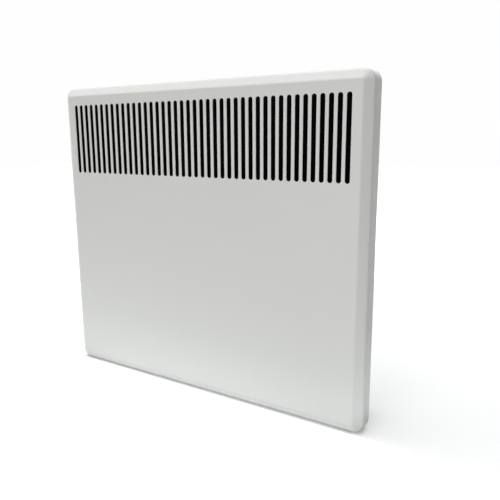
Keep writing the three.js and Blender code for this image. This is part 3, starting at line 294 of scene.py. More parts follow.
@dataclass(frozen=True)
class SheetMetal(Finish):
    """Bare or plated sheet: rolling lines, and zinc spangle where it has it."""

    slot: str
    colour: Colour
    roughness: float = 0.36
    spangle: float = 0.0
    grain: Colour = (1.0, 1.0, 14.0)
    line_size: float = 3.0 * MM
    stain_size: float = 35 * MM
    relief: float = 0.015 * MM

    def paint(self, sheet: NodeSheet) -> None:
        """Rolling grain, with spangle cells over it."""
        lines = sheet.noise(self.line_size, 3.0, self.grain)
        stain = sheet.noise(self.stain_size, 3.0)
        tone = sheet.mix(lines.ramp(0.3, 0.7), shade(self.colour, 0.9), shade(self.colour, 1.06))
        tone = sheet.mix(stain.ramp(0.45, 0.75, 0.0, 0.35), tone, shade(self.colour, 0.8))
        rough = lines.ramp(0.3, 0.7, self.roughness - 0.06, self.roughness + 0.08)
        height = lines
        if self.spangle:
            edge, value = sheet.cells(self.spangle)
            tone = sheet.mix(value * 0.3, tone, shade(self.colour, 0.72))
            rough = rough + value * 0.16 - 0.08
            height = lines * 0.5 + edge * 0.5
        sheet.principled(
            Base_Color=tone,
            Roughness=rough,
            Metallic=1.0,
            Normal=sheet.bump(height, self.relief),
        )


@dataclass(frozen=True)
class Moulding(Finish):
    """Moulded plastic or rubber with a fine eroded grain."""

    slot: str
    colour: Colour
    roughness: float = 0.5
    grain: float = 0.35 * MM
    grain_depth: float = 0.02 * MM
    glow: float = 0.0
    glow_reach: float = 2 * MM
    flow_size: float = 14 * MM

    def paint(self, sheet: NodeSheet) -> None:
        """Grain, with a slightly uneven colour."""
        grain = sheet.noise(self.grain, 3.0)
        flow = sheet.noise(self.flow_size, 2.0)
        tone = sheet.mix(flow, shade(self.colour, 0.9), shade(self.colour, 1.1))
        tone = sheet.mix(grain.ramp(0.5, 0.8, 0.0, 0.3), tone, shade(self.colour, 1.35))
        sheet.principled(
            Base_Color=tone,
            Roughness=grain.ramp(0.3, 0.7, self.roughness - 0.05, self.roughness + 0.08),
            Normal=sheet.bump(grain, self.grain_depth),
            Subsurface_Weight=self.glow,
            Subsurface_Scale=self.glow_reach,
        )


WHITE_COAT = PowderCoat("white_coat", (0.79, 0.795, 0.765))
# Near-black coat of the air guide: painted shade, so the grille's slots look as dark as the shaded
# inside of the casing.
SHADE_BLACK_COAT = PowderCoat("black_coat", (0.003, 0.003, 0.0032), roughness=0.85, gloss=0.04)
GALVANISED = SheetMetal("galvanised", (0.46, 0.47, 0.48), 0.42, spangle=7 * MM)
BRIGHT_SHEET = SheetMetal("bright_sheet", (0.62, 0.63, 0.64), 0.28)
ZINC_PLATE = SheetMetal("zinc_plate", (0.56, 0.57, 0.58), 0.3, grain=(6.0, 6.0, 6.0))
ELEMENT_ALUMINIUM = SheetMetal("element_aluminium", (0.58, 0.59, 0.6), 0.4, grain=(0.1, 8.0, 8.0))
ELEMENT_STEEL = SheetMetal("element_steel", (0.5, 0.47, 0.43), 0.32, grain=(12.0, 1.0, 1.0))
BRASS = SheetMetal("brass", (0.78, 0.6, 0.3), 0.28, grain=(6.0, 6.0, 6.0))
CERAMIC = Moulding("ceramic", (0.84, 0.8, 0.72), 0.55, 0.25 * MM, 0.03 * MM, glow=0.05)
DARK_PLASTIC = Moulding("dark_plastic", (0.028, 0.029, 0.031), 0.48)
WHITE_PLASTIC = Moulding("white_plastic", (0.7, 0.7, 0.67), 0.42, glow=0.05)
LAMP_PLASTIC = Moulding("lamp_plastic", (0.62, 0.07, 0.02), 0.16, 1.5 * MM, 0.004 * MM, glow=0.3)
RUBBER = Moulding("rubber", (0.022, 0.022, 0.023), 0.72, 0.5 * MM, 0.04 * MM)
BROWN_SLEEVE = Moulding("brown_sleeve", (0.1, 0.04, 0.016), 0.45, 0.8 * MM, 0.01 * MM)
BLUE_SLEEVE = Moulding("blue_sleeve", (0.015, 0.06, 0.26), 0.45, 0.8 * MM, 0.01 * MM)
GREEN_SLEEVE = Moulding("green_sleeve", (0.07, 0.2, 0.02), 0.45, 0.8 * MM, 0.01 * MM)


# ------------------------------------------------------------------ mesh helpers


def added(name: str, data: bpy.types.ID) -> Object:
    """A new object in the scene."""
    made = bpy.data.objects.new(name, data)
    bpy.context.scene.collection.objects.link(made)
    return made


def mesh_of(bm: BMesh, name: str) -> bpy.types.Mesh:
    """A mesh made from a bmesh, which is freed."""
    mesh = bpy.data.meshes.new(name)
    bm.to_mesh(mesh)
    bm.free()
    return mesh


def sealed(bm: BMesh) -> BMesh:
    """The same bmesh, its close vertices merged and its faces turned out."""
    bmesh.ops.remove_doubles(bm, verts=bm.verts, dist=MERGE)
    bmesh.ops.recalc_face_normals(bm, faces=bm.faces)
    return bm


def flattened(bm: BMesh) -> BMesh:
    """The same bmesh, its close vertices merged and the faces of one plane joined."""
    bmesh.ops.remove_doubles(bm, verts=bm.verts, dist=MERGE)
    bmesh.ops.dissolve_limit(
        bm, angle_limit=SAME_PLANE, verts=bm.verts, edges=bm.edges,
        use_dissolve_boundaries=False, delimit=set(),
    )
    return bm


def bevel_edges(bm: BMesh, edges: Sequence[BMEdge], offset: float, segments: int) -> None:
    """Rounds edges by an arc that starts at the given offset from each."""
    bmesh.ops.bevel(
        bm, geom=edges, offset=offset, offset_type="OFFSET", affect="EDGES",
        segments=segments, profile=0.5, material=-1, clamp_overlap=True,
    )


def rim_edges(faces: Sequence[BMFace]) -> list[BMEdge]:
    """The edges that bound some faces, always in the same order."""
    chosen = set(faces)
    edges = dict.fromkeys(edge for face in faces for edge in face.edges)
    return [e for e in edges if sum(f in chosen for f in e.link_faces) == 1]


def sharp_edges(bm: BMesh, least: float) -> list[BMEdge]:
    """The edges whose faces meet at more than the given angle in degrees."""
    return [
        e for e in bm.edges
        if len(e.link_faces) == 2 and e.calc_face_angle(0.0) > math.radians(least)
    ]


def eased(bm: BMesh, offset: float, segments: int = 2, least: float = 50.0) -> BMesh:
    """The same bmesh, its edges of more than the given angle in degrees rounded."""
    bevel_edges(bm, sharp_edges(bm, least), offset, segments)
    return bm


def facing(bm: BMesh, direction: Vector, level: float | None = None) -> list[BMFace]:
    """Faces that look along a direction, and lie at a level of it where one is given."""
    found = []
    for face in bm.faces:
        face.normal_update()
        if face.normal.dot(direction) < 0.999:
            continue
        if level is None or abs(face.calc_center_median().dot(direction) - level) < MERGE:
            found.append(face)
    return found


def lathe(profile: Profile, steps: int = 48) -> BMesh:
    """Revolves an outline about Z.

    Args:
        profile: (radius, height) pairs. An outline that ends where it starts gives a ring.
        steps: Facets in the full turn.

    Returns:
        A closed shell, its faces pointing out.
    """
    bm = bmesh.new()
    points = [bm.verts.new((radius, 0.0, height)) for radius, height in profile]
    lines = [bm.edges.new(pair) for pair in zip(points, points[1:])]
    bmesh.ops.spin(
        bm, geom=points + lines, cent=(0, 0, 0), axis=(0, 0, 1), dvec=(0, 0, 0),
        angle=math.tau, steps=steps, use_merge=True, use_duplicate=False,
    )
    return sealed(bm)


def prism(outline: Profile, low: float, high: float) -> BMesh:
    """Pushes an outline in XY from one height to another."""
    bm = bmesh.new()
    base = bm.faces.new([bm.verts.new((u, v, low)) for u, v in outline])
    grown = bmesh.ops.extrude_face_region(bm, geom=[base])["geom"]
    top = [g for g in grown if isinstance(g, bmesh.types.BMVert)]
    bmesh.ops.translate(bm, vec=(0, 0, high - low), verts=top)
    bmesh.ops.recalc_face_normals(bm, faces=bm.faces)
    return bm


def ring_points(radius: float, count: int, dip: float = 0.0, flutes: int = 0) -> Profile:
    """A circle's points, drawn in by a dip at each flute."""
    points = []
    for i in range(count):
        angle = math.tau * i / count
        reach = radius - dip * (1 - math.cos(flutes * angle)) / 2
        points.append((reach * math.cos(angle), reach * math.sin(angle)))
    return points


def bar_points(length: float, width: float, facets: int = 10) -> Profile:
    """A bar along U with round ends."""
    radius, reach = width / 2, (length - width) / 2
    turns = [math.pi * (i / facets - 0.5) for i in range(facets + 1)]
    end = [(reach + radius * math.cos(a), radius * math.sin(a)) for a in turns]
    return [*end, *((-u, -v) for u, v in end)]


def mirrored(half: Profile, length: float) -> Profile:
    """The outline of a piece whose second half is its first one turned round."""
    return [*half, *((radius, length - height) for radius, height in reversed(half))]


def thread(
    root: float, crest: float, start: float, pitch: float, turns: int, share: float = 0.5
) -> Profile:
    """A thread's points from its start on, with its crest at a share of each turn."""
    points = []
    for i in range(turns):
        foot = start + i * pitch
        points += [(root, foot), (crest, foot + share * pitch)]
    return points


def moved(bm: BMesh, matrix: Matrix) -> BMesh:
    """The same bmesh, put elsewhere."""
    bmesh.ops.transform(bm, matrix=matrix, verts=bm.verts)
    return bm


def seat_of(node: str, axis: Axis) -> Vector:
    """The middle of the end of a node's box from which an axis leads into it."""
    low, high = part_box(node)
    return (low + high) / 2 - axis.along * abs(axis.along.dot(high - low)) / 2


def length_of(node: str, axis: Axis) -> float:
    """The length of a node's box along an axis."""
    low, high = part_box(node)
    return abs(axis.along.dot(high - low))


def combined(body: BMesh, tool: BMesh, operation: Boolean) -> BMesh:
    """Joins, cuts or intersects two solids and frees both.

    Args:
        body: The closed shell that is worked on.
        tool: The closed shells that work on it.
        operation: What is kept.

    Returns:
        The result.
    """
    target, other = [added("solid", mesh_of(bm, "solid")) for bm in (body, tool)]
    boolean = target.modifiers.new("boolean", "BOOLEAN")
    boolean.object, boolean.operation = other, operation.value
    boolean.solver, boolean.use_self = "EXACT", True
    left = bmesh.new()
    left.from_object(target, bpy.context.evaluated_depsgraph_get())
    for made in (target, other):
        mesh = made.data
        bpy.data.objects.remove(made)
        bpy.data.meshes.remove(mesh)
    return flattened(left)


def hexagon_nut(radius: float, low: float, high: float, slope: float) -> BMesh:
    """A hexagonal nut between two heights, its corners sloped off."""
    crown = lathe([
        (0.0, low), (radius - slope, low), (radius, low + slope),
        (radius, high - slope), (radius - slope, high), (0.0, high),
    ])
    return combined(prism(ring_points(radius, 6), low, high), crown, Boolean.COMMON)


def refined(node: str, edge: float = 0.0) -> BMesh:
    """A copy of a CAD node with its flat faces merged and its sharp edges eased.

    Args:
        node: The CAD node's name.
        edge: How far the rounding reaches from each sharp edge.

    Returns:
        The eased copy.
    """
    bm = bmesh.new()
    bm.from_mesh(frame["nodes"][node].data)
    flattened(bm)
    return eased(bm, edge) if edge else bm


def swept(path: Sequence[Vector], radius: float) -> BMesh:
    """A round section carried along a smooth curve, its ends closed.

    Args:
        path: Points that the centreline passes through.
        radius: The section's radius.

    Returns:
        A closed shell.
    """
    curve = bpy.data.curves.new("sleeve", "CURVE")
    curve.dimensions = "3D"
    curve.bevel_depth = radius
    curve.bevel_resolution = curve.resolution_u = 3
    curve.use_fill_caps = True
    line = curve.splines.new("BEZIER")
    line.bezier_points.add(len(path) - 1)
    for knot, place in zip(line.bezier_points, path):
        knot.co = place
        knot.handle_left_type = knot.handle_right_type = "AUTO"
    drawn = added("sleeve", curve)
    evaluated = drawn.evaluated_get(bpy.context.evaluated_depsgraph_get())
    bm = bmesh.new()
    bm.from_mesh(evaluated.to_mesh())
    evaluated.to_mesh_clear()
    bpy.data.objects.remove(drawn)
    bpy.data.curves.remove(curve)
    return sealed(bm)


# ------------------------------------------------------------------ sub-assemblies


class SubAssembly:
    """What every sub-assembly shares: making a mesh into a dressed piece of the heater."""

    body = "heater"

    def piece(
        self,
        name: str,
        bm: BMesh,
        finish: Finish,
        replaced: Sequence[str] = (),
        body: str = "",
        modify: Callable[[Object], None] | None = None,
    ) -> None:
        """Turns a bmesh into a finished piece that rides on a body.

        Args:
            name: The piece's name.
            bm: Its mesh, which is freed.
            finish: What it is covered with.
            replaced: The CAD nodes that it stands for.
            body: The CAD body it moves with, or the sub-assembly's own.
            modify: Adds the piece's modifiers.
        """
        mesh = mesh_of(bm, name)
        mesh.shade_smooth()
        made = added(name, mesh)
        mesh.materials.append(finish.material())
        if modify:
            modify(made)
        weights = made.modifiers.new("weights", "WEIGHTED_NORMAL")
        weights.keep_sharp = True
        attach(made, body or self.body)
        if replaced:
            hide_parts(*replaced)
        LOG.info("%s: %d faces, %s", name, len(mesh.polygons), finish.slot)

    def dress(self, node: str, finish: Finish, edge: float, body: str = "") -> None:
        """Shows a CAD node as an eased copy of itself.

        Args:
            node: The CAD node's name.
            finish: What it is covered with.
            edge: How far its sharp edges are rounded.
            body: The CAD body it moves with, or the sub-assembly's own.
        """
        self.piece(f"{node}_finished", refined(node, edge), finish, [node], body)

    def seated(
        self, node: str, bm: BMesh, axis: Axis, finish: Finish, edge: float = 0.0
    ) -> None:
        """Shows a CAD node as a mesh drawn about Z, which grows along an axis from its seat.

        Args:
            node: The CAD node's name.
            bm: The mesh, its foot at height 0.
            axis: The way that it grows.
            finish: What it is covered with.
            edge: How far its sharp edges are rounded.
        """
        if edge:
            eased(bm, edge, least=40.0)
        placed = axis.at(seat_of(node, axis))
        self.piece(f"{node}_finished", moved(bm, placed), finish, [node])

    def build(self) -> None:
        """Makes every piece of the sub-assembly."""
        raise NotImplementedError


@dataclass
class PanScrew(SubAssembly):
    """A cross-head pan screw that stands for one of the CAD's plain ones."""

    axis: Axis
    finish: Finish = ZINC_PLATE
    head_radius: float = 3.2 * MM
    head_height: float = 2.0 * MM
    shank_radius: float = 1.5 * MM
    thread_pitch: float = 0.8 * MM
    recess_reach: float = 1.5 * MM
    recess_width: float = 0.7 * MM
    recess_depth: float = 1.1 * MM
    root_share: float = 0.82
    crest_share: float = 0.4
    tip_length: float = 0.7 * MM
    plain_length: float = 1.4 * MM
    rim: float = 0.2 * MM

    def outline(self, length: float) -> Profile:
        """The screw's half section from its tip to the crown of its head."""
        root, crest = self.shank_radius * self.root_share, self.shank_radius
        turns = int((length - self.plain_length) / self.thread_pitch)
        tip = [(0.0, length), (root * 0.7, length - 0.5 * MM)]
        start = length - self.tip_length
        shank = thread(root, crest, start, -self.thread_pitch, turns, self.crest_share)
        neck = [(crest, 0.0), (self.head_radius - self.rim, 0.0), (self.head_radius, -self.rim)]
        dome = [
            (self.head_radius * math.cos(a), -self.head_height * (0.35 + 0.65 * math.sin(a)))
            for a in QUARTER
        ]
        return [*tip, *shank, *neck, *dome]

    def cutter(self) -> BMesh:
        """Two crossed bars that cut the head's recess."""
        bm = bmesh.new()
        size = (2 * self.recess_reach, self.recess_width, 2 * self.recess_depth)
        for turn in (0.0, math.pi / 2):
            bar = bmesh.ops.create_cube(bm, size=1.0)["verts"]
            bmesh.ops.scale(bm, vec=size, verts=bar)
            bmesh.ops.rotate(bm, matrix=Matrix.Rotation(turn, 3, "Z"), verts=bar)
            bmesh.ops.translate(bm, vec=(0, 0, -self.head_height), verts=bar)
        return bm

    def replace(self, node: str) -> None:
        """Makes the detailed screw that stands for a CAD node."""
        seat = seat_of(node, self.axis) + self.axis.along * self.head_height
        length = length_of(node, self.axis) - self.head_height
        screw = combined(lathe(self.outline(length), 32), self.cutter(), Boolean.CUT)
        self.piece(f"{node}_finished", moved(screw, self.axis.at(seat)), self.finish, [node])

    def replace_all(self, name: str, count: int) -> None:
        """Makes the screws of a row of numbered CAD nodes."""
        for i in range(count):
            self.replace(f"{name}_{i + 1}")


@dataclass
class FrontCover(SubAssembly):
    """The pressed cover: bevelled rim, drawn walls, inner lip and the slotted grille."""

    sheet: float = 0.8 * MM
    corner: float = 13 * MM
    bevel_width: float = 10.8 * MM
    bevel_depth: float = 6.8 * MM
    face_bend: float = 4.5 * MM
    wall_bend: float = 4.0 * MM
    lip_bend: float = 1.4 * MM
    lip_width: float = 11 * MM
    slot_width: float = 5.8 * MM
    slot_length: float = 93.4 * MM
    slot_pitch: float = 10 * MM
    slot_count: int = 42
    slot_top: float = 23.3 * MM
    slot_facets: int = 28
    corner_facets: int = 20
    bend_facets: int = 8
    punched_edge: float = 0.16 * MM
    finish: Finish = WHITE_COAT
    screw: PanScrew = field(default_factory=lambda: PanScrew(Axis.FRONT))

    def box_shell(self) -> BMesh:
        """The cover's outside before its slots: a rounded box with a bevelled front."""
        low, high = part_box("front_cover")
        wall_front = low.y + self.bevel_depth
        size = Vector((high.x - low.x, high.y - wall_front, high.z - low.z))
        centre = Vector(((low.x + high.x) / 2, (high.y + wall_front) / 2, (low.z + high.z) / 2))
        bm = bmesh.new()
        bmesh.ops.create_cube(bm, size=1.0)
        bmesh.ops.scale(bm, vec=size, verts=bm.verts)
        bmesh.ops.translate(bm, vec=centre, verts=bm.verts)
        along = [e for e in bm.edges if abs(e.verts[0].co.y - e.verts[1].co.y) > size.y / 2]
        bevel_edges(bm, along, self.corner, self.corner_facets)
        front = facing(bm, Vector((0, -1, 0)))
        bmesh.ops.inset_region(
            bm, faces=front, thickness=self.bevel_width, depth=self.bevel_depth,
            use_even_offset=True, use_boundary=True,
        )
        back = facing(bm, Vector((0, 1, 0)))
        bmesh.ops.inset_region(
            bm, faces=back, thickness=self.lip_width, use_even_offset=True, use_boundary=True
        )
        return bm

    def bend_rims(self, bm: BMesh) -> None:
        """Rounds the three bends that run round the cover."""
        low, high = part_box("front_cover")
        slope = math.atan2(self.bevel_depth, self.bevel_width)
        rims = (
            (low.y, self.face_bend, slope),
            (low.y + self.bevel_depth, self.wall_bend, math.pi / 2 - slope),
            (high.y, self.lip_bend, math.pi / 2),
        )
        for level, radius, turn in rims:
            ring = [
                e for e in sharp_edges(bm, 15.0)
                if all(abs(v.co.y - level) < MERGE for v in e.verts)
            ]
            bevel_edges(bm, ring, radius * math.tan(turn / 2), self.bend_facets)

    def slot_outline(self, bm: BMesh, x: float, z: float, y: float) -> list[BMEdge]:
        """One slot's closed loop of edges, drawn in the flat face."""
        half_step = math.pi / self.slot_facets
        radius = self.slot_width / 2
        ring = bmesh.ops.create_circle(
            bm, cap_ends=False, segments=self.slot_facets, radius=radius / math.cos(half_step)
        )["verts"]
        bmesh.ops.rotate(bm, matrix=Matrix.Rotation(half_step, 3, "Z"), verts=ring)
        bmesh.ops.rotate(bm, matrix=Matrix.Rotation(math.pi / 2, 3, "X"), verts=ring)
        reach = self.slot_length / 2 - radius
        for side in (1, -1):
            end = [v for v in ring if v.co.z * side > 0]
            bmesh.ops.translate(bm, vec=(0, 0, side * reach), verts=end)
        bmesh.ops.translate(bm, vec=(x, y, z), verts=ring)
        return list(dict.fromkeys(e for v in ring for e in v.link_edges))

    def punch(self, bm: BMesh) -> None:
        """Fills the flat front anew, with the grille's slots left open."""
        low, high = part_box("front_cover")
        front = facing(bm, Vector((0, -1, 0)), -low.y)
        edges = rim_edges(front)
        bmesh.ops.delete(bm, geom=front, context="FACES_ONLY")
        middle = high.z - self.slot_top - self.slot_length / 2
        for i in range(self.slot_count):
            x = (i - (self.slot_count - 1) / 2) * self.slot_pitch
            edges += self.slot_outline(bm, x, middle, low.y)
        bmesh.ops.triangle_fill(
            bm, use_beauty=True, use_dissolve=False, edges=edges, normal=(0, -1, 0)
        )

    def open_back(self, bm: BMesh) -> None:
        """Takes away the face inside the lip."""
        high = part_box("front_cover")[1]
        back = facing(bm, Vector((0, 1, 0)), high.y)
        largest = max(back, key=lambda f: f.calc_area())
        bmesh.ops.delete(bm, geom=[largest], context="FACES")

    def thicken(self, made: Object) -> None:
        """Gives the shell its sheet thickness and eases the cut edges."""
        wall = made.modifiers.new("sheet", "SOLIDIFY")
        wall.thickness = self.sheet
        wall.offset = -1.0
        wall.use_even_offset = True
        wall.use_quality_normals = True
        ease = made.modifiers.new("edges", "BEVEL")
        ease.width = self.punched_edge
        ease.segments = 2
        ease.limit_method = "ANGLE"
        ease.angle_limit = math.radians(60)

    def build(self) -> None:
        """The cover and its six screws."""
        bm = self.box_shell()
        self.bend_rims(bm)
        self.punch(bm)
        self.open_back(bm)
        sealed(bm)
        flat = max(bm.faces, key=lambda f: -f.calc_center_median().y)
        if flat.normal.y > 0:
            bmesh.ops.reverse_faces(bm, faces=bm.faces)
        self.piece("cover_pressing", bm, self.finish, ["front_cover"], modify=self.thicken)
        self.screw.replace_all("cover_screw", 6)


@dataclass
class RearCasing(SubAssembly):
    """The folded tray behind the cover, with its rubber wall spacers."""

    spacer_radius: float = 9 * MM
    spacer_taper: float = 2 * MM
    spacer_foot: float = 0.36
    spacer_slope: float = 0.42
    spacer_step: float = 0.3 * MM
    spacer_nose: float = 1.2 * MM
    dimple_radius: float = 2.6 * MM
    dimple_depth: float = 0.6 * MM

    def spacer(self, node: str) -> None:
        """A tapered rubber buffer with a rounded nose."""
        height, wide, nose = length_of(node, Axis.BACK), self.spacer_radius, self.spacer_nose
        tip, third, sunk = wide - self.spacer_taper, nose / 3, height - self.dimple_depth
        outline = [
            (0.0, 0.0), (wide, 0.0), (wide, height * self.spacer_foot),
            (wide - self.spacer_step, height * self.spacer_slope), (tip, height - nose),
            (tip - third, height - third), (tip - nose, height),
            (self.dimple_radius, height), (self.dimple_radius - third, sunk), (0.0, sunk),
        ]
        self.seated(node, lathe(outline), Axis.BACK, RUBBER)

    def build(self) -> None:
        """The casing and its two spacers."""
        self.dress("rear_casing", WHITE_COAT, 0.15 * MM)
        self.spacer("wall_spacer_left")
        self.spacer("wall_spacer_right")


@dataclass
class AirPath(SubAssembly):
    """The air guide behind the grille, coated near black as painted shade behind the slots, and the
    bright shield behind the element.
    """

    screw: PanScrew = field(default_factory=lambda: PanScrew(Axis.BACK))

    def build(self) -> None:
        """Both sheets and their screws."""
        # The air guide's near-black coat is painted shade behind the slots.
        self.dress("air_guide", SHADE_BLACK_COAT, 0.12 * MM)
        self.dress("heat_shield", BRIGHT_SHEET, 0.12 * MM)
        self.screw.replace_all("guide_screw", 3)
        self.screw.replace_all("shield_screw", 4)


@dataclass
class HeatingElement(SubAssembly):
    """The finned element between the partition and its bracket, with its cut-out."""

    rod_radius: float = 4.2 * MM
    rod_crimp: float = 0.4 * MM
    crimp_start: float = 3 * MM
    crimp_end: float = 2 * MM
    bore: float = 4.5 * MM
    bush_radius: float = 10 * MM
    bush_neck: float = 7 * MM
    bush_round: float = 1.4 * MM
    bush_flange: float = 3.5 * MM
    stud_radius: float = 2 * MM
    stud_pitch: float = 0.7 * MM
    stud_depth: float = 0.25 * MM
    stud_lead: float = 0.3 * MM
    nut_radius: float = 4 * MM
    nut_start: float = 2 * MM
    nut_height: float = 3 * MM
    nut_slope: float = 0.5 * MM
    screw: PanScrew = field(default_factory=lambda: PanScrew(Axis.BACK))

    def rod(self) -> None:
        """The sheathed rod, crimped at both ends."""
        length = length_of("element_rod", Axis.RIGHT)
        crimped = self.rod_radius - self.rod_crimp
        end = [(0.0, 0.0), (crimped, 0.0), (crimped, self.crimp_end)]
        outline = mirrored([*end, (self.rod_radius, self.crimp_start)], length)
        self.seated("element_rod", lathe(outline), Axis.RIGHT, ELEMENT_STEEL, edge=0.15 * MM)

    def bush(self, node: str) -> None:
        """A ceramic bush: two rounded flanges with a groove between them."""
        length = length_of(node, Axis.RIGHT)
        inner = self.bush_radius - self.bush_round
        round_edge = [
            (inner + self.bush_round * math.sin(a), self.bush_round * (1 - math.cos(a)))
            for a in QUARTER
        ]
        groove = [(self.bush_radius, self.bush_flange), (self.bush_neck, self.bush_flange)]
        outline = mirrored([(self.bore, 0.0), *round_edge, *groove], length)
        self.seated(node, lathe([*outline, outline[0]]), Axis.RIGHT, CERAMIC, edge=0.2 * MM)

    def terminal(self, node: str, axis: Axis) -> None:
        """A threaded stud with a hexagonal nut."""
        length = length_of(node, axis)
        turns = int((length - MM) / self.stud_pitch)
        root, crest = self.stud_radius - self.stud_depth, self.stud_radius
        ridges = thread(root, crest, self.stud_lead, self.stud_pitch, turns)
        tip = [(root - self.stud_lead, length), (0.0, length)]
        stud = lathe([(0.0, 0.0), (root, 0.0), *ridges, *tip], 32)
        end = self.nut_start + self.nut_height
        nut = hexagon_nut(self.nut_radius, self.nut_start, end, self.nut_slope)
        self.seated(node, combined(stud, nut, Boolean.JOIN), axis, BRASS)

    def build(self) -> None:
        """Every piece of the element, its supports and its overheat cut-out."""
        self.dress("control_partition", GALVANISED, 0.15 * MM)
        self.dress("element_bracket", GALVANISED, 0.25 * MM)
        self.dress("element_diffuser", ELEMENT_ALUMINIUM, 0.15 * MM)
        self.rod()
        self.bush("insulator_left")
        self.bush("insulator_right")
        self.terminal("element_terminal_left", Axis.LEFT)
        self.terminal("element_terminal_right", Axis.RIGHT)
        self.dress("thermal_cutout", DARK_PLASTIC, 0.15 * MM)
        for name in ("partition_screw", "bracket_screw"):
            self.screw.replace_all(name, 2)


@dataclass
class ThermostatKnob(SubAssembly):
    """The fluted knob with its grip bar, its spindle and the dial's ticks round it."""

    body = "knob"
    radius: float = 14 * MM
    disc: float = 6 * MM
    shoulder: float = 1 * MM
    flutes: int = 20
    flute_depth: float = 0.7 * MM
    disc_round: float = 0.35 * MM
    step_round: float = 0.3 * MM
    grip_width: float = 5 * MM
    grip_round: float = 0.9 * MM
    pointer: Pair = (6 * MM, 0.9 * MM)
    pointer_inset: float = 6.2 * MM
    pointer_sunk: float = 0.2 * MM
    pointer_height: float = 0.3 * MM
    spindle_radius: float = 3 * MM
    spindle_flat: float = 2.2 * MM
    spindle_drive: float = 6.5 * MM
    play: float = 0.3 * MM
    ticks: int = 10
    tick_length: float = 1.6 * MM
    tick_width: float = 0.6 * MM
    tick_rise: float = 0.12 * MM
    sweep: float = math.radians(270)

    def shaft(self, reach: float, low: float, high: float) -> BMesh:
        """A length of the D-shaped shaft, larger than the spindle by a reach."""
        flat = self.spindle_flat + reach
        outline = ring_points(self.spindle_radius + reach, 64)
        return prism([(u, min(v, flat)) for u, v in outline], low, high)

    def knob(self) -> None:
        """The knob about its own spindle, its flutes drawn as waves."""
        node = "thermostat_knob"
        height = length_of(node, Axis.LEFT)
        inner = self.radius - 2 * self.flute_depth
        disc_top = self.disc - self.shoulder
        disc = prism(ring_points(self.radius, 240, self.flute_depth, self.flutes), 0.0, disc_top)
        upper = [e for e in sharp_edges(disc, 60.0) if e.verts[0].co.z > MERGE]
        bevel_edges(disc, upper, self.disc_round, 3)
        step = lathe([(0.0, MM), (inner, MM), (inner, self.disc), (0.0, self.disc)], 96)
        eased(step, self.step_round, 3, 60.0)
        grip = prism(bar_points(2 * inner, self.grip_width), MM, height)
        eased(grip, self.grip_round, 4, 60.0)
        whole = combined(combined(disc, step, Boolean.JOIN), grip, Boolean.JOIN)
        socket = self.shaft(self.play, -1 * MM, self.disc + self.play)
        self.seated(node, combined(whole, socket, Boolean.CUT), Axis.LEFT, DARK_PLASTIC)

    def point(self) -> None:
        """The white line on top of the grip, at the end that reads the dial."""
        foot = length_of("thermostat_knob", Axis.LEFT) - self.pointer_sunk
        line = prism(bar_points(*self.pointer, 6), foot, foot + self.pointer_height)
        shifted = Matrix.Translation((self.radius - self.pointer_inset, 0.0, 0.0))
        placed = Axis.LEFT.at(seat_of("thermostat_knob", Axis.LEFT))
        self.piece("knob_pointer", moved(moved(line, shifted), placed), WHITE_PLASTIC)

    def spindle(self) -> None:
        """A round spindle with a flat where it drives the knob."""
        node = "thermostat_spindle"
        length = length_of(node, Axis.LEFT)
        drive = length - self.spindle_drive
        round_part = prism(ring_points(self.spindle_radius, 64), 0.0, drive + MM)
        shaft = combined(round_part, self.shaft(0.0, drive, length), Boolean.JOIN)
        self.seated(node, shaft, Axis.LEFT, ELEMENT_STEEL, edge=0.1 * MM)

    def dial(self) -> None:
        """Raised ticks on the housing, spread over the knob's turn."""
        centre = seat_of("thermostat_knob", Axis.LEFT)
        centre.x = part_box("control_housing")[0].x
        dial = bmesh.new()
        for i in range(self.ticks):
            turn = self.sweep * i / (self.ticks - 1)
            outline = bar_points(self.tick_length, self.tick_width, 4)
            tick = prism(outline, -self.tick_rise, self.tick_rise)
            reach = self.radius + self.tick_length
            place = Matrix.Rotation(turn, 4, "Z") @ Matrix.Translation((reach, 0.0, 0.0))
            mesh = mesh_of(moved(tick, place), "tick")
            dial.from_mesh(mesh)
            bpy.data.meshes.remove(mesh)
        placed = Axis.LEFT.at(centre)
        self.piece("dial_ticks", moved(dial, placed), WHITE_PLASTIC, body="heater")

    def build(self) -> None:
        """The knob, its pointer, the spindle and the dial."""
        self.knob()
        self.point()
        self.spindle()
        self.dial()


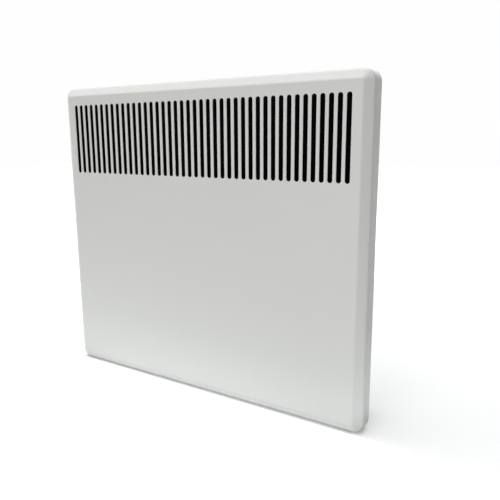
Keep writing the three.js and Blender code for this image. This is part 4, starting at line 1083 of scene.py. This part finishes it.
@dataclass
class RockerSwitch(SubAssembly):
    """The rocker with its dished key and the two marks on it."""

    body = "rocker"
    width: float = 10 * MM
    half_length: float = 8.1 * MM
    rise: float = 6.4 * MM
    dip: float = 5 * MM
    foot: float = 2.5 * MM
    key_round: float = 0.45 * MM
    tilt: float = math.radians(8)
    pin_radius: float = 1.2 * MM
    pin_reach: float = 0.8 * MM
    mark_place: float = 4.7 * MM
    mark_size: float = 3.2 * MM
    mark_line: float = 0.7 * MM
    mark_levels: Pair = (-0.2 * MM, 0.1 * MM)

    def place(self) -> Matrix:
        """The rocker's own place: its pivot, tilted to the off side."""
        joint = next(j for j in frame["joints"] if j["name"] == "power_rocker")
        return Matrix.Translation(joint["pos_m"]) @ Matrix.Rotation(self.tilt, 4, "Y")

    def face(self, height: float) -> tuple[float, float]:
        """The dished face's x at a height over the pivot, and its slope there."""
        sag = self.rise - self.dip
        radius = (self.half_length ** 2 + sag ** 2) / (2 * sag)
        inward = math.sqrt(radius ** 2 - height ** 2)
        return inward - radius - self.dip, -math.asin(height / radius)

    def key(self) -> None:
        """The key with its trunnions."""
        steps = [self.half_length * (i / 8 - 1) for i in range(17)]
        outline = [
            (self.foot, self.half_length / 2), (-self.foot, self.half_length),
            *((self.face(z)[0], z) for z in reversed(steps)),
            (-self.foot, -self.half_length), (self.foot, -self.half_length / 2),
        ]
        key = eased(prism(outline, -self.width / 2, self.width / 2), self.key_round, 3)
        reach = self.width / 2 + self.pin_reach
        pin = prism(ring_points(self.pin_radius, 32), -reach, reach)
        whole = moved(combined(key, pin, Boolean.JOIN), self.place() @ Axis.FRONT.value)
        self.piece("switch_rocker_finished", whole, LAMP_PLASTIC, ["switch_rocker"])

    def mark(self, name: str, outline: Profile, hole: Profile, height: float) -> None:
        """A thin raised mark on the key's face."""
        x, slope = self.face(height)
        shape = prism(outline, *self.mark_levels)
        if hole:
            shape = combined(shape, prism(hole, -MM, MM), Boolean.CUT)
        spot = Matrix.Translation((x, 0.0, height)) @ Matrix.Rotation(slope, 4, "Y")
        self.piece(name, moved(shape, self.place() @ spot @ Axis.LEFT.value), WHITE_PLASTIC)

    def build(self) -> None:
        """The key, its line and its ring."""
        self.key()
        bar = bar_points(self.mark_size, self.mark_line, 6)
        ring, hole = (
            ring_points(self.mark_size / 2 - inset, 32) for inset in (0.0, self.mark_line)
        )
        self.mark("rocker_on_mark", bar, (), self.mark_place)
        self.mark("rocker_off_mark", ring, hole, -self.mark_place)


@dataclass
class ControlPanel(SubAssembly):
    """The side housing with its thermostat, rocker switch and pilot lamp."""

    lamp_radius: float = 2.5 * MM
    lamp_flange: float = 3.4 * MM
    lamp_rise: float = 2.6 * MM
    lamp_collar: float = 1 * MM
    lamp_rim: float = 0.5 * MM
    screw: PanScrew = field(default_factory=lambda: PanScrew(Axis.RIGHT))
    knob: ThermostatKnob = field(default_factory=ThermostatKnob)
    rocker: RockerSwitch = field(default_factory=RockerSwitch)

    def lamp(self) -> None:
        """The lamp's lens: a round dome on a sloping collar."""
        length = length_of("pilot_lamp", Axis.LEFT)
        foot = length - self.lamp_rise
        dome = self.lamp_rise - self.lamp_collar
        turns = [math.radians(step) for step in range(0, 91, 10)]
        outline = [
            (0.0, 0.0), (self.lamp_radius, 0.0), (self.lamp_radius, foot),
            (self.lamp_flange, foot), (self.lamp_flange, foot + self.lamp_rim),
            *((self.lamp_radius * math.cos(a), foot + self.lamp_collar + dome * math.sin(a))
              for a in turns),
        ]
        self.seated("pilot_lamp", lathe(outline), Axis.LEFT, LAMP_PLASTIC)

    def build(self) -> None:
        """Every piece of the controls."""
        self.dress("control_housing", DARK_PLASTIC, 0.5 * MM)
        self.dress("thermostat_body", WHITE_PLASTIC, 0.3 * MM)
        self.dress("switch_body", DARK_PLASTIC, 0.2 * MM)
        self.lamp()
        self.knob.build()
        self.rocker.build()
        self.screw.replace_all("housing_screw", 2)


@dataclass
class Wiring(SubAssembly):
    """The cable gland, the terminal block and the inner leads."""

    lead_radius: float = 1.1 * MM
    gland_bore: float = 4.3 * MM
    gland_barrel: float = 6.2 * MM
    gland_flange: float = 9 * MM
    gland_flange_height: float = 3 * MM
    gland_nose: float = 9 * MM
    gland_edge: float = 0.6 * MM
    gland_taper: float = 1 * MM
    thread_depth: float = 0.4 * MM
    groove_depth: float = 0.7 * MM
    gland_grooves: int = 4
    nut_radius: float = 9.5 * MM
    nut_slope: float = 0.9 * MM
    nut_play: float = 0.3 * MM
    screw: PanScrew = field(default_factory=lambda: PanScrew(Axis.BACK))
    earth: PanScrew = field(default_factory=lambda: PanScrew(Axis.BACK, BRASS))

    def gland(self) -> None:
        """The gland: threaded barrel, flange and a grooved nose for the cord."""
        length = length_of("cable_gland", Axis.LEFT)
        nose = length - self.gland_nose
        flange = nose - self.gland_flange_height
        barrel, edge = self.gland_barrel, self.gland_edge
        ridges = thread(barrel - self.thread_depth, barrel, MM / 2, MM, int(flange / MM) - 1)
        step = self.gland_nose / (self.gland_grooves + 1)
        wide = barrel + self.gland_taper
        grooves = []
        for i in range(self.gland_grooves):
            start = nose + MM + i * step
            radius = wide - (i + 1) * self.gland_taper / (self.gland_grooves + 1)
            deep = radius - self.groove_depth
            grooves += [
                (radius, start), (radius, start + step * 0.55),
                (deep, start + step * 0.65), (deep, start + step * 0.95),
            ]
        outline = [
            (self.gland_bore, 0.0), (barrel - 0.5 * MM, 0.0), *ridges,
            (barrel, flange), (self.gland_flange, flange),
            (self.gland_flange, nose - edge), (self.gland_flange - edge, nose),
            (wide, nose), *grooves, (barrel, length - edge), (barrel - edge, length),
            (self.gland_bore, length), (self.gland_bore, 0.0),
        ]
        self.seated("cable_gland", lathe(outline), Axis.LEFT, DARK_PLASTIC, edge=0.12 * MM)

    def gland_nut(self) -> None:
        """The hexagonal nut inside the casing."""
        height = length_of("gland_nut", Axis.RIGHT)
        nut = hexagon_nut(self.nut_radius, 0.0, height, self.nut_slope)
        bore = prism(ring_points(self.gland_barrel + self.nut_play, 64), -MM, height + MM)
        turned = moved(combined(nut, bore, Boolean.CUT), Matrix.Rotation(math.pi / 2, 4, "Z"))
        self.seated("gland_nut", turned, Axis.RIGHT, DARK_PLASTIC)

    @staticmethod
    def centreline(node: str) -> list[Vector]:
        """The middles of a CAD lead's rings, walked from one end cap to the other."""
        bm = refined(node)
        cap = min((f for f in bm.faces if len(f.verts) > 4), key=lambda f: f.calc_area())
        ring, seen, middles = list(cap.verts), set(cap.verts), []
        while ring:
            middles.append(sum((v.co for v in ring), Vector()) / len(ring))
            around = dict.fromkeys(e.other_vert(v) for v in ring for e in v.link_edges)
            ring = [v for v in around if v not in seen]
            seen.update(ring)
        bm.free()
        return middles

    def lead(self, node: str, finish: Finish) -> None:
        """A smooth sleeve along a CAD lead's centreline."""
        sleeve = swept(self.centreline(node), self.lead_radius)
        self.piece(f"{node}_finished", sleeve, finish, [node])

    def build(self) -> None:
        """The inlet, the block and the leads."""
        self.gland()
        self.gland_nut()
        self.dress("terminal_block", WHITE_PLASTIC, 0.2 * MM)
        for name in ("supply", "switch", "thermostat", "element"):
            self.lead(f"{name}_lead", BROWN_SLEEVE)
        self.lead("return_lead", BLUE_SLEEVE)
        self.lead("earth_lead", GREEN_SLEEVE)
        self.screw.replace("block_screw")
        self.earth.replace("earth_screw")


@dataclass
class WallMount(SubAssembly):
    """The bracket that stays on the wall, and the two latches that hold the heater on it."""

    rivet_radius: float = 2.5 * MM
    rivet_head: float = 5 * MM
    head_height: float = 0.8 * MM
    rivet_edge: float = 0.3 * MM
    rivet_bore: float = 1.5 * MM
    bore_rim: float = 1.7 * MM
    bore_depth: float = 2 * MM

    def rivet(self, node: str) -> None:
        """A tubular rivet: a low domed head and a hollow end."""
        length = length_of(node, Axis.BACK)
        wide, edge, floor = self.rivet_radius, self.rivet_edge, length - self.bore_depth
        dome = [
            (self.rivet_head * math.sin(a), self.head_height * (1 - math.cos(a))) for a in QUARTER
        ]
        outline = [
            *dome, (wide, self.head_height), (wide, length - edge), (wide - edge, length),
            (self.bore_rim, length), (self.rivet_bore, length - edge), (self.rivet_bore, floor),
            (0.0, floor),
        ]
        self.seated(node, lathe(outline), Axis.BACK, BRASS)

    def build(self) -> None:
        """The bracket, its latches and their rivets."""
        self.dress("wall_bracket", GALVANISED, 0.25 * MM)
        for side in ("left", "right"):
            self.dress(f"latch_{side}", DARK_PLASTIC, 0.35 * MM, f"{side}_latch")
            self.rivet(f"latch_rivet_{side}")


# ------------------------------------------------------------------ studio


@dataclass(frozen=True)
class Lamp:
    """One soft rectangular lamp that looks at a point."""

    name: str
    place: Triple
    size: Pair
    power: float
    aim: Triple = (0.0, 0.0, 0.2)
    colour: Colour = WHITE

    def hang(self) -> None:
        """Puts the lamp in the scene, unseen by the camera."""
        data = bpy.data.lights.new(self.name, "AREA")
        data.shape = "RECTANGLE"
        data.size, data.size_y = self.size
        data.energy = self.power
        data.color = self.colour
        made = added(self.name, data)
        made.visible_camera = False
        way = Vector(self.aim) - Vector(self.place)
        turn = way.to_track_quat("-Z", "Y").to_matrix().to_4x4()
        made.matrix_world = Matrix.Translation(self.place) @ turn


@dataclass(frozen=True)
class Studio:
    """The pale floor, the soft lights and the camera."""

    camera_place: Triple = (0.43705, -0.59071, 0.331)
    yaw: float = -0.570383
    pitch: float = -0.197533
    roll: float = -0.0047178
    lens: float = 40.32
    sensor: float = 36.0
    clip: Pair = (0.01, 50.0)
    ambient: float = 0.2
    backdrop: float = 0.991
    floor_size: float = 12.0
    floor_near_glow: float = 0.97
    floor_shade_glow: float = 0.16
    floor_far_glow: float = 1.0
    # Painted light pool: the floor's colour for bounce light is lighter near the heater than far
    # off.
    pool_inner: float = 0.45
    pool_outer: float = 1.1
    bounce_near: Colour = (0.5, 0.5, 0.49)
    bounce_far: Colour = (0.25, 0.25, 0.25)
    # Edges of the floor glow's painted light in front and to the left, and of its painted shade
    # under the cover.
    front_edge: Pair = (-0.0405, -0.0385)
    left_edge: Pair = (-0.231, -0.222)
    contact_shade_sides: Pair = (0.213, 0.222)
    contact_shade_depth: Pair = (-0.032, -0.024)
    lamps: tuple[Lamp, ...] = (
        Lamp("overhead", (0.0, 0.0, 2.2), (2.0, 2.0), 31.0, colour=(0.97, 0.99, 1.0)),
        Lamp("left", (-1.5, -0.2, 1.8), (1.5, 1.5), 8.3),
        Lamp("right", (1.5, -0.2, 1.8), (1.5, 1.5), 0.7),
        Lamp("front", (0.0, -1.8, 1.6), (1.2, 1.2), 2.9),
        Lamp("low_front", (0.08, -1.3, 0.3), (0.8, 0.5), 4.4),
        Lamp("rear", (0.0, 1.8, 0.7), (1.2, 1.2), 5.0),
        Lamp("near_strip", (-0.07, -0.14, 0.02), (0.4, 0.025), 0.014, (-0.07, -0.04, 0.12), COOL),
        Lamp("low_strip", (0.03, -0.1, 0.006), (0.5, 0.01), 0.033, (0.03, -0.04, 0.0), COOL),
        Lamp("rim_strip", (0.0, -0.0383, 0.0006), (0.44, 0.0022), 0.003,
             (0.0, -0.0383, 1.0), COOL),
        Lamp("pool_right", (0.29, 0.0, 0.012), (0.1, 0.5), 0.073, (0.29, 0.0, 1.0), COOL),
        Lamp("pool_left", (-0.31, 0.0, 0.003), (0.14, 0.5), 0.09, (-0.31, 0.0, 1.0), COOL),
    )

    def camera(self) -> None:
        """The camera at the photograph's place and angle."""
        data = bpy.data.cameras.new("camera")
        data.lens = self.lens
        data.sensor_width = self.sensor
        data.clip_start, data.clip_end = self.clip
        made = added("camera", data)
        level = Matrix.Rotation(math.pi / 2 + self.pitch, 4, "X")
        aimed = Matrix.Rotation(-self.yaw, 4, "Z") @ level @ Matrix.Rotation(self.roll, 4, "Z")
        made.matrix_world = Matrix.Translation(self.camera_place) @ aimed
        bpy.context.scene.camera = made

    @staticmethod
    def seen_share(sheet: NodeSheet) -> Signal:
        """1 for rays from the camera, a mirror or glass, and 0 for soft light."""
        path = sheet.node("ShaderNodeLightPath")
        parts = [
            Signal(sheet, path.outputs[name])
            for name in ("Is Camera Ray", "Is Glossy Ray", "Is Transmission Ray")
        ]
        return parts[0] + parts[1] + parts[2]

    def world(self) -> None:
        """White where it is seen, and a plain soft light elsewhere."""
        world = bpy.data.worlds.new("studio")
        world.use_nodes = True
        bpy.context.scene.world = world
        sheet = NodeSheet(world.node_tree)
        strength = self.seen_share(sheet).ramp(0.0, 1.0, self.ambient, self.backdrop)
        light = {"Color": (*WHITE, 1.0), "Strength": strength}
        background = sheet.node("ShaderNodeBackground", {}, light)
        sheet.node("ShaderNodeOutputWorld", {}, {"Surface": background.outputs[0]})

    def floor(self) -> None:
        """A white floor that keeps the shadow behind and to the right and throws light up near the
        heater only; its glow is painted light in front and to the left and painted shade under the
        cover.
        """
        bm = bmesh.new()
        bmesh.ops.create_grid(bm, x_segments=1, y_segments=1, size=self.floor_size / 2)
        made = added("floor", mesh_of(bm, "floor"))
        finish = bpy.data.materials.new("floor")
        finish.use_nodes = True
        sheet = NodeSheet(finish.node_tree)
        seen = self.seen_share(sheet)
        spot = sheet.node("ShaderNodeTexCoord").outputs["Object"]
        away = sheet.signal("ShaderNodeVectorMath", {"operation": "LENGTH"}, {0: spot}, "Value")
        # Painted light pool: bounce rays see a lighter floor near the heater and a darker one far
        # off.
        far = away.ramp(self.pool_inner, self.pool_outer)
        bounce = sheet.mix(far, self.bounce_near, self.bounce_far)
        colour = sheet.mix(seen, bounce, WHITE)
        matt = sheet.node("ShaderNodeBsdfDiffuse", {}, {"Color": colour})
        axes = sheet.node("ShaderNodeSeparateXYZ", {}, {0: spot}).outputs
        across, depth = Signal(sheet, axes[0]), Signal(sheet, axes[1])
        # Painted light: the glow is raised in front of and to the left of the heater, which washes
        # out the shadow there.
        front = depth.ramp(*self.front_edge, 1.0, 0.0)
        left = across.ramp(*self.left_edge, 1.0, 0.0)
        lit_side = front + (1.0 - front) * left
        near = lit_side.ramp(0.0, 1.0, self.floor_shade_glow, self.floor_near_glow)
        # Painted shade: no glow in a band under the cover's front edge, a drawn contact shadow.
        contact_shade = abs(across).ramp(*self.contact_shade_sides, 1.0, 0.0)
        contact_shade = contact_shade * depth.ramp(*self.contact_shade_depth, 1.0, 0.0) * (1.0 - front)
        near = near * (1.0 - contact_shade)
        white = near + far * (self.floor_far_glow - near)
        light = {"Color": (*WHITE, 1.0), "Strength": seen * white}
        glow = sheet.node("ShaderNodeEmission", {}, light)
        both = sheet.node("ShaderNodeAddShader", {}, {0: matt.outputs[0], 1: glow.outputs[0]})
        sheet.node("ShaderNodeOutputMaterial", {}, {"Surface": both.outputs[0]})
        made.data.materials.append(finish)

    def build(self) -> None:
        """The whole studio."""
        bpy.context.scene.view_settings.view_transform = "Standard"
        self.camera()
        self.world()
        self.floor()
        for lamp in self.lamps:
            lamp.hang()


def main() -> None:
    """Builds the studio and the heater around the frame."""
    logging.basicConfig(level=logging.INFO, format="%(name)s %(message)s")
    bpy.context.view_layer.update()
    Studio().build()
    for part in (
        FrontCover(), RearCasing(), AirPath(), HeatingElement(), ControlPanel(), Wiring(),
        WallMount(),
    ):
        part.build()


if __name__ == "__main__":
    main()
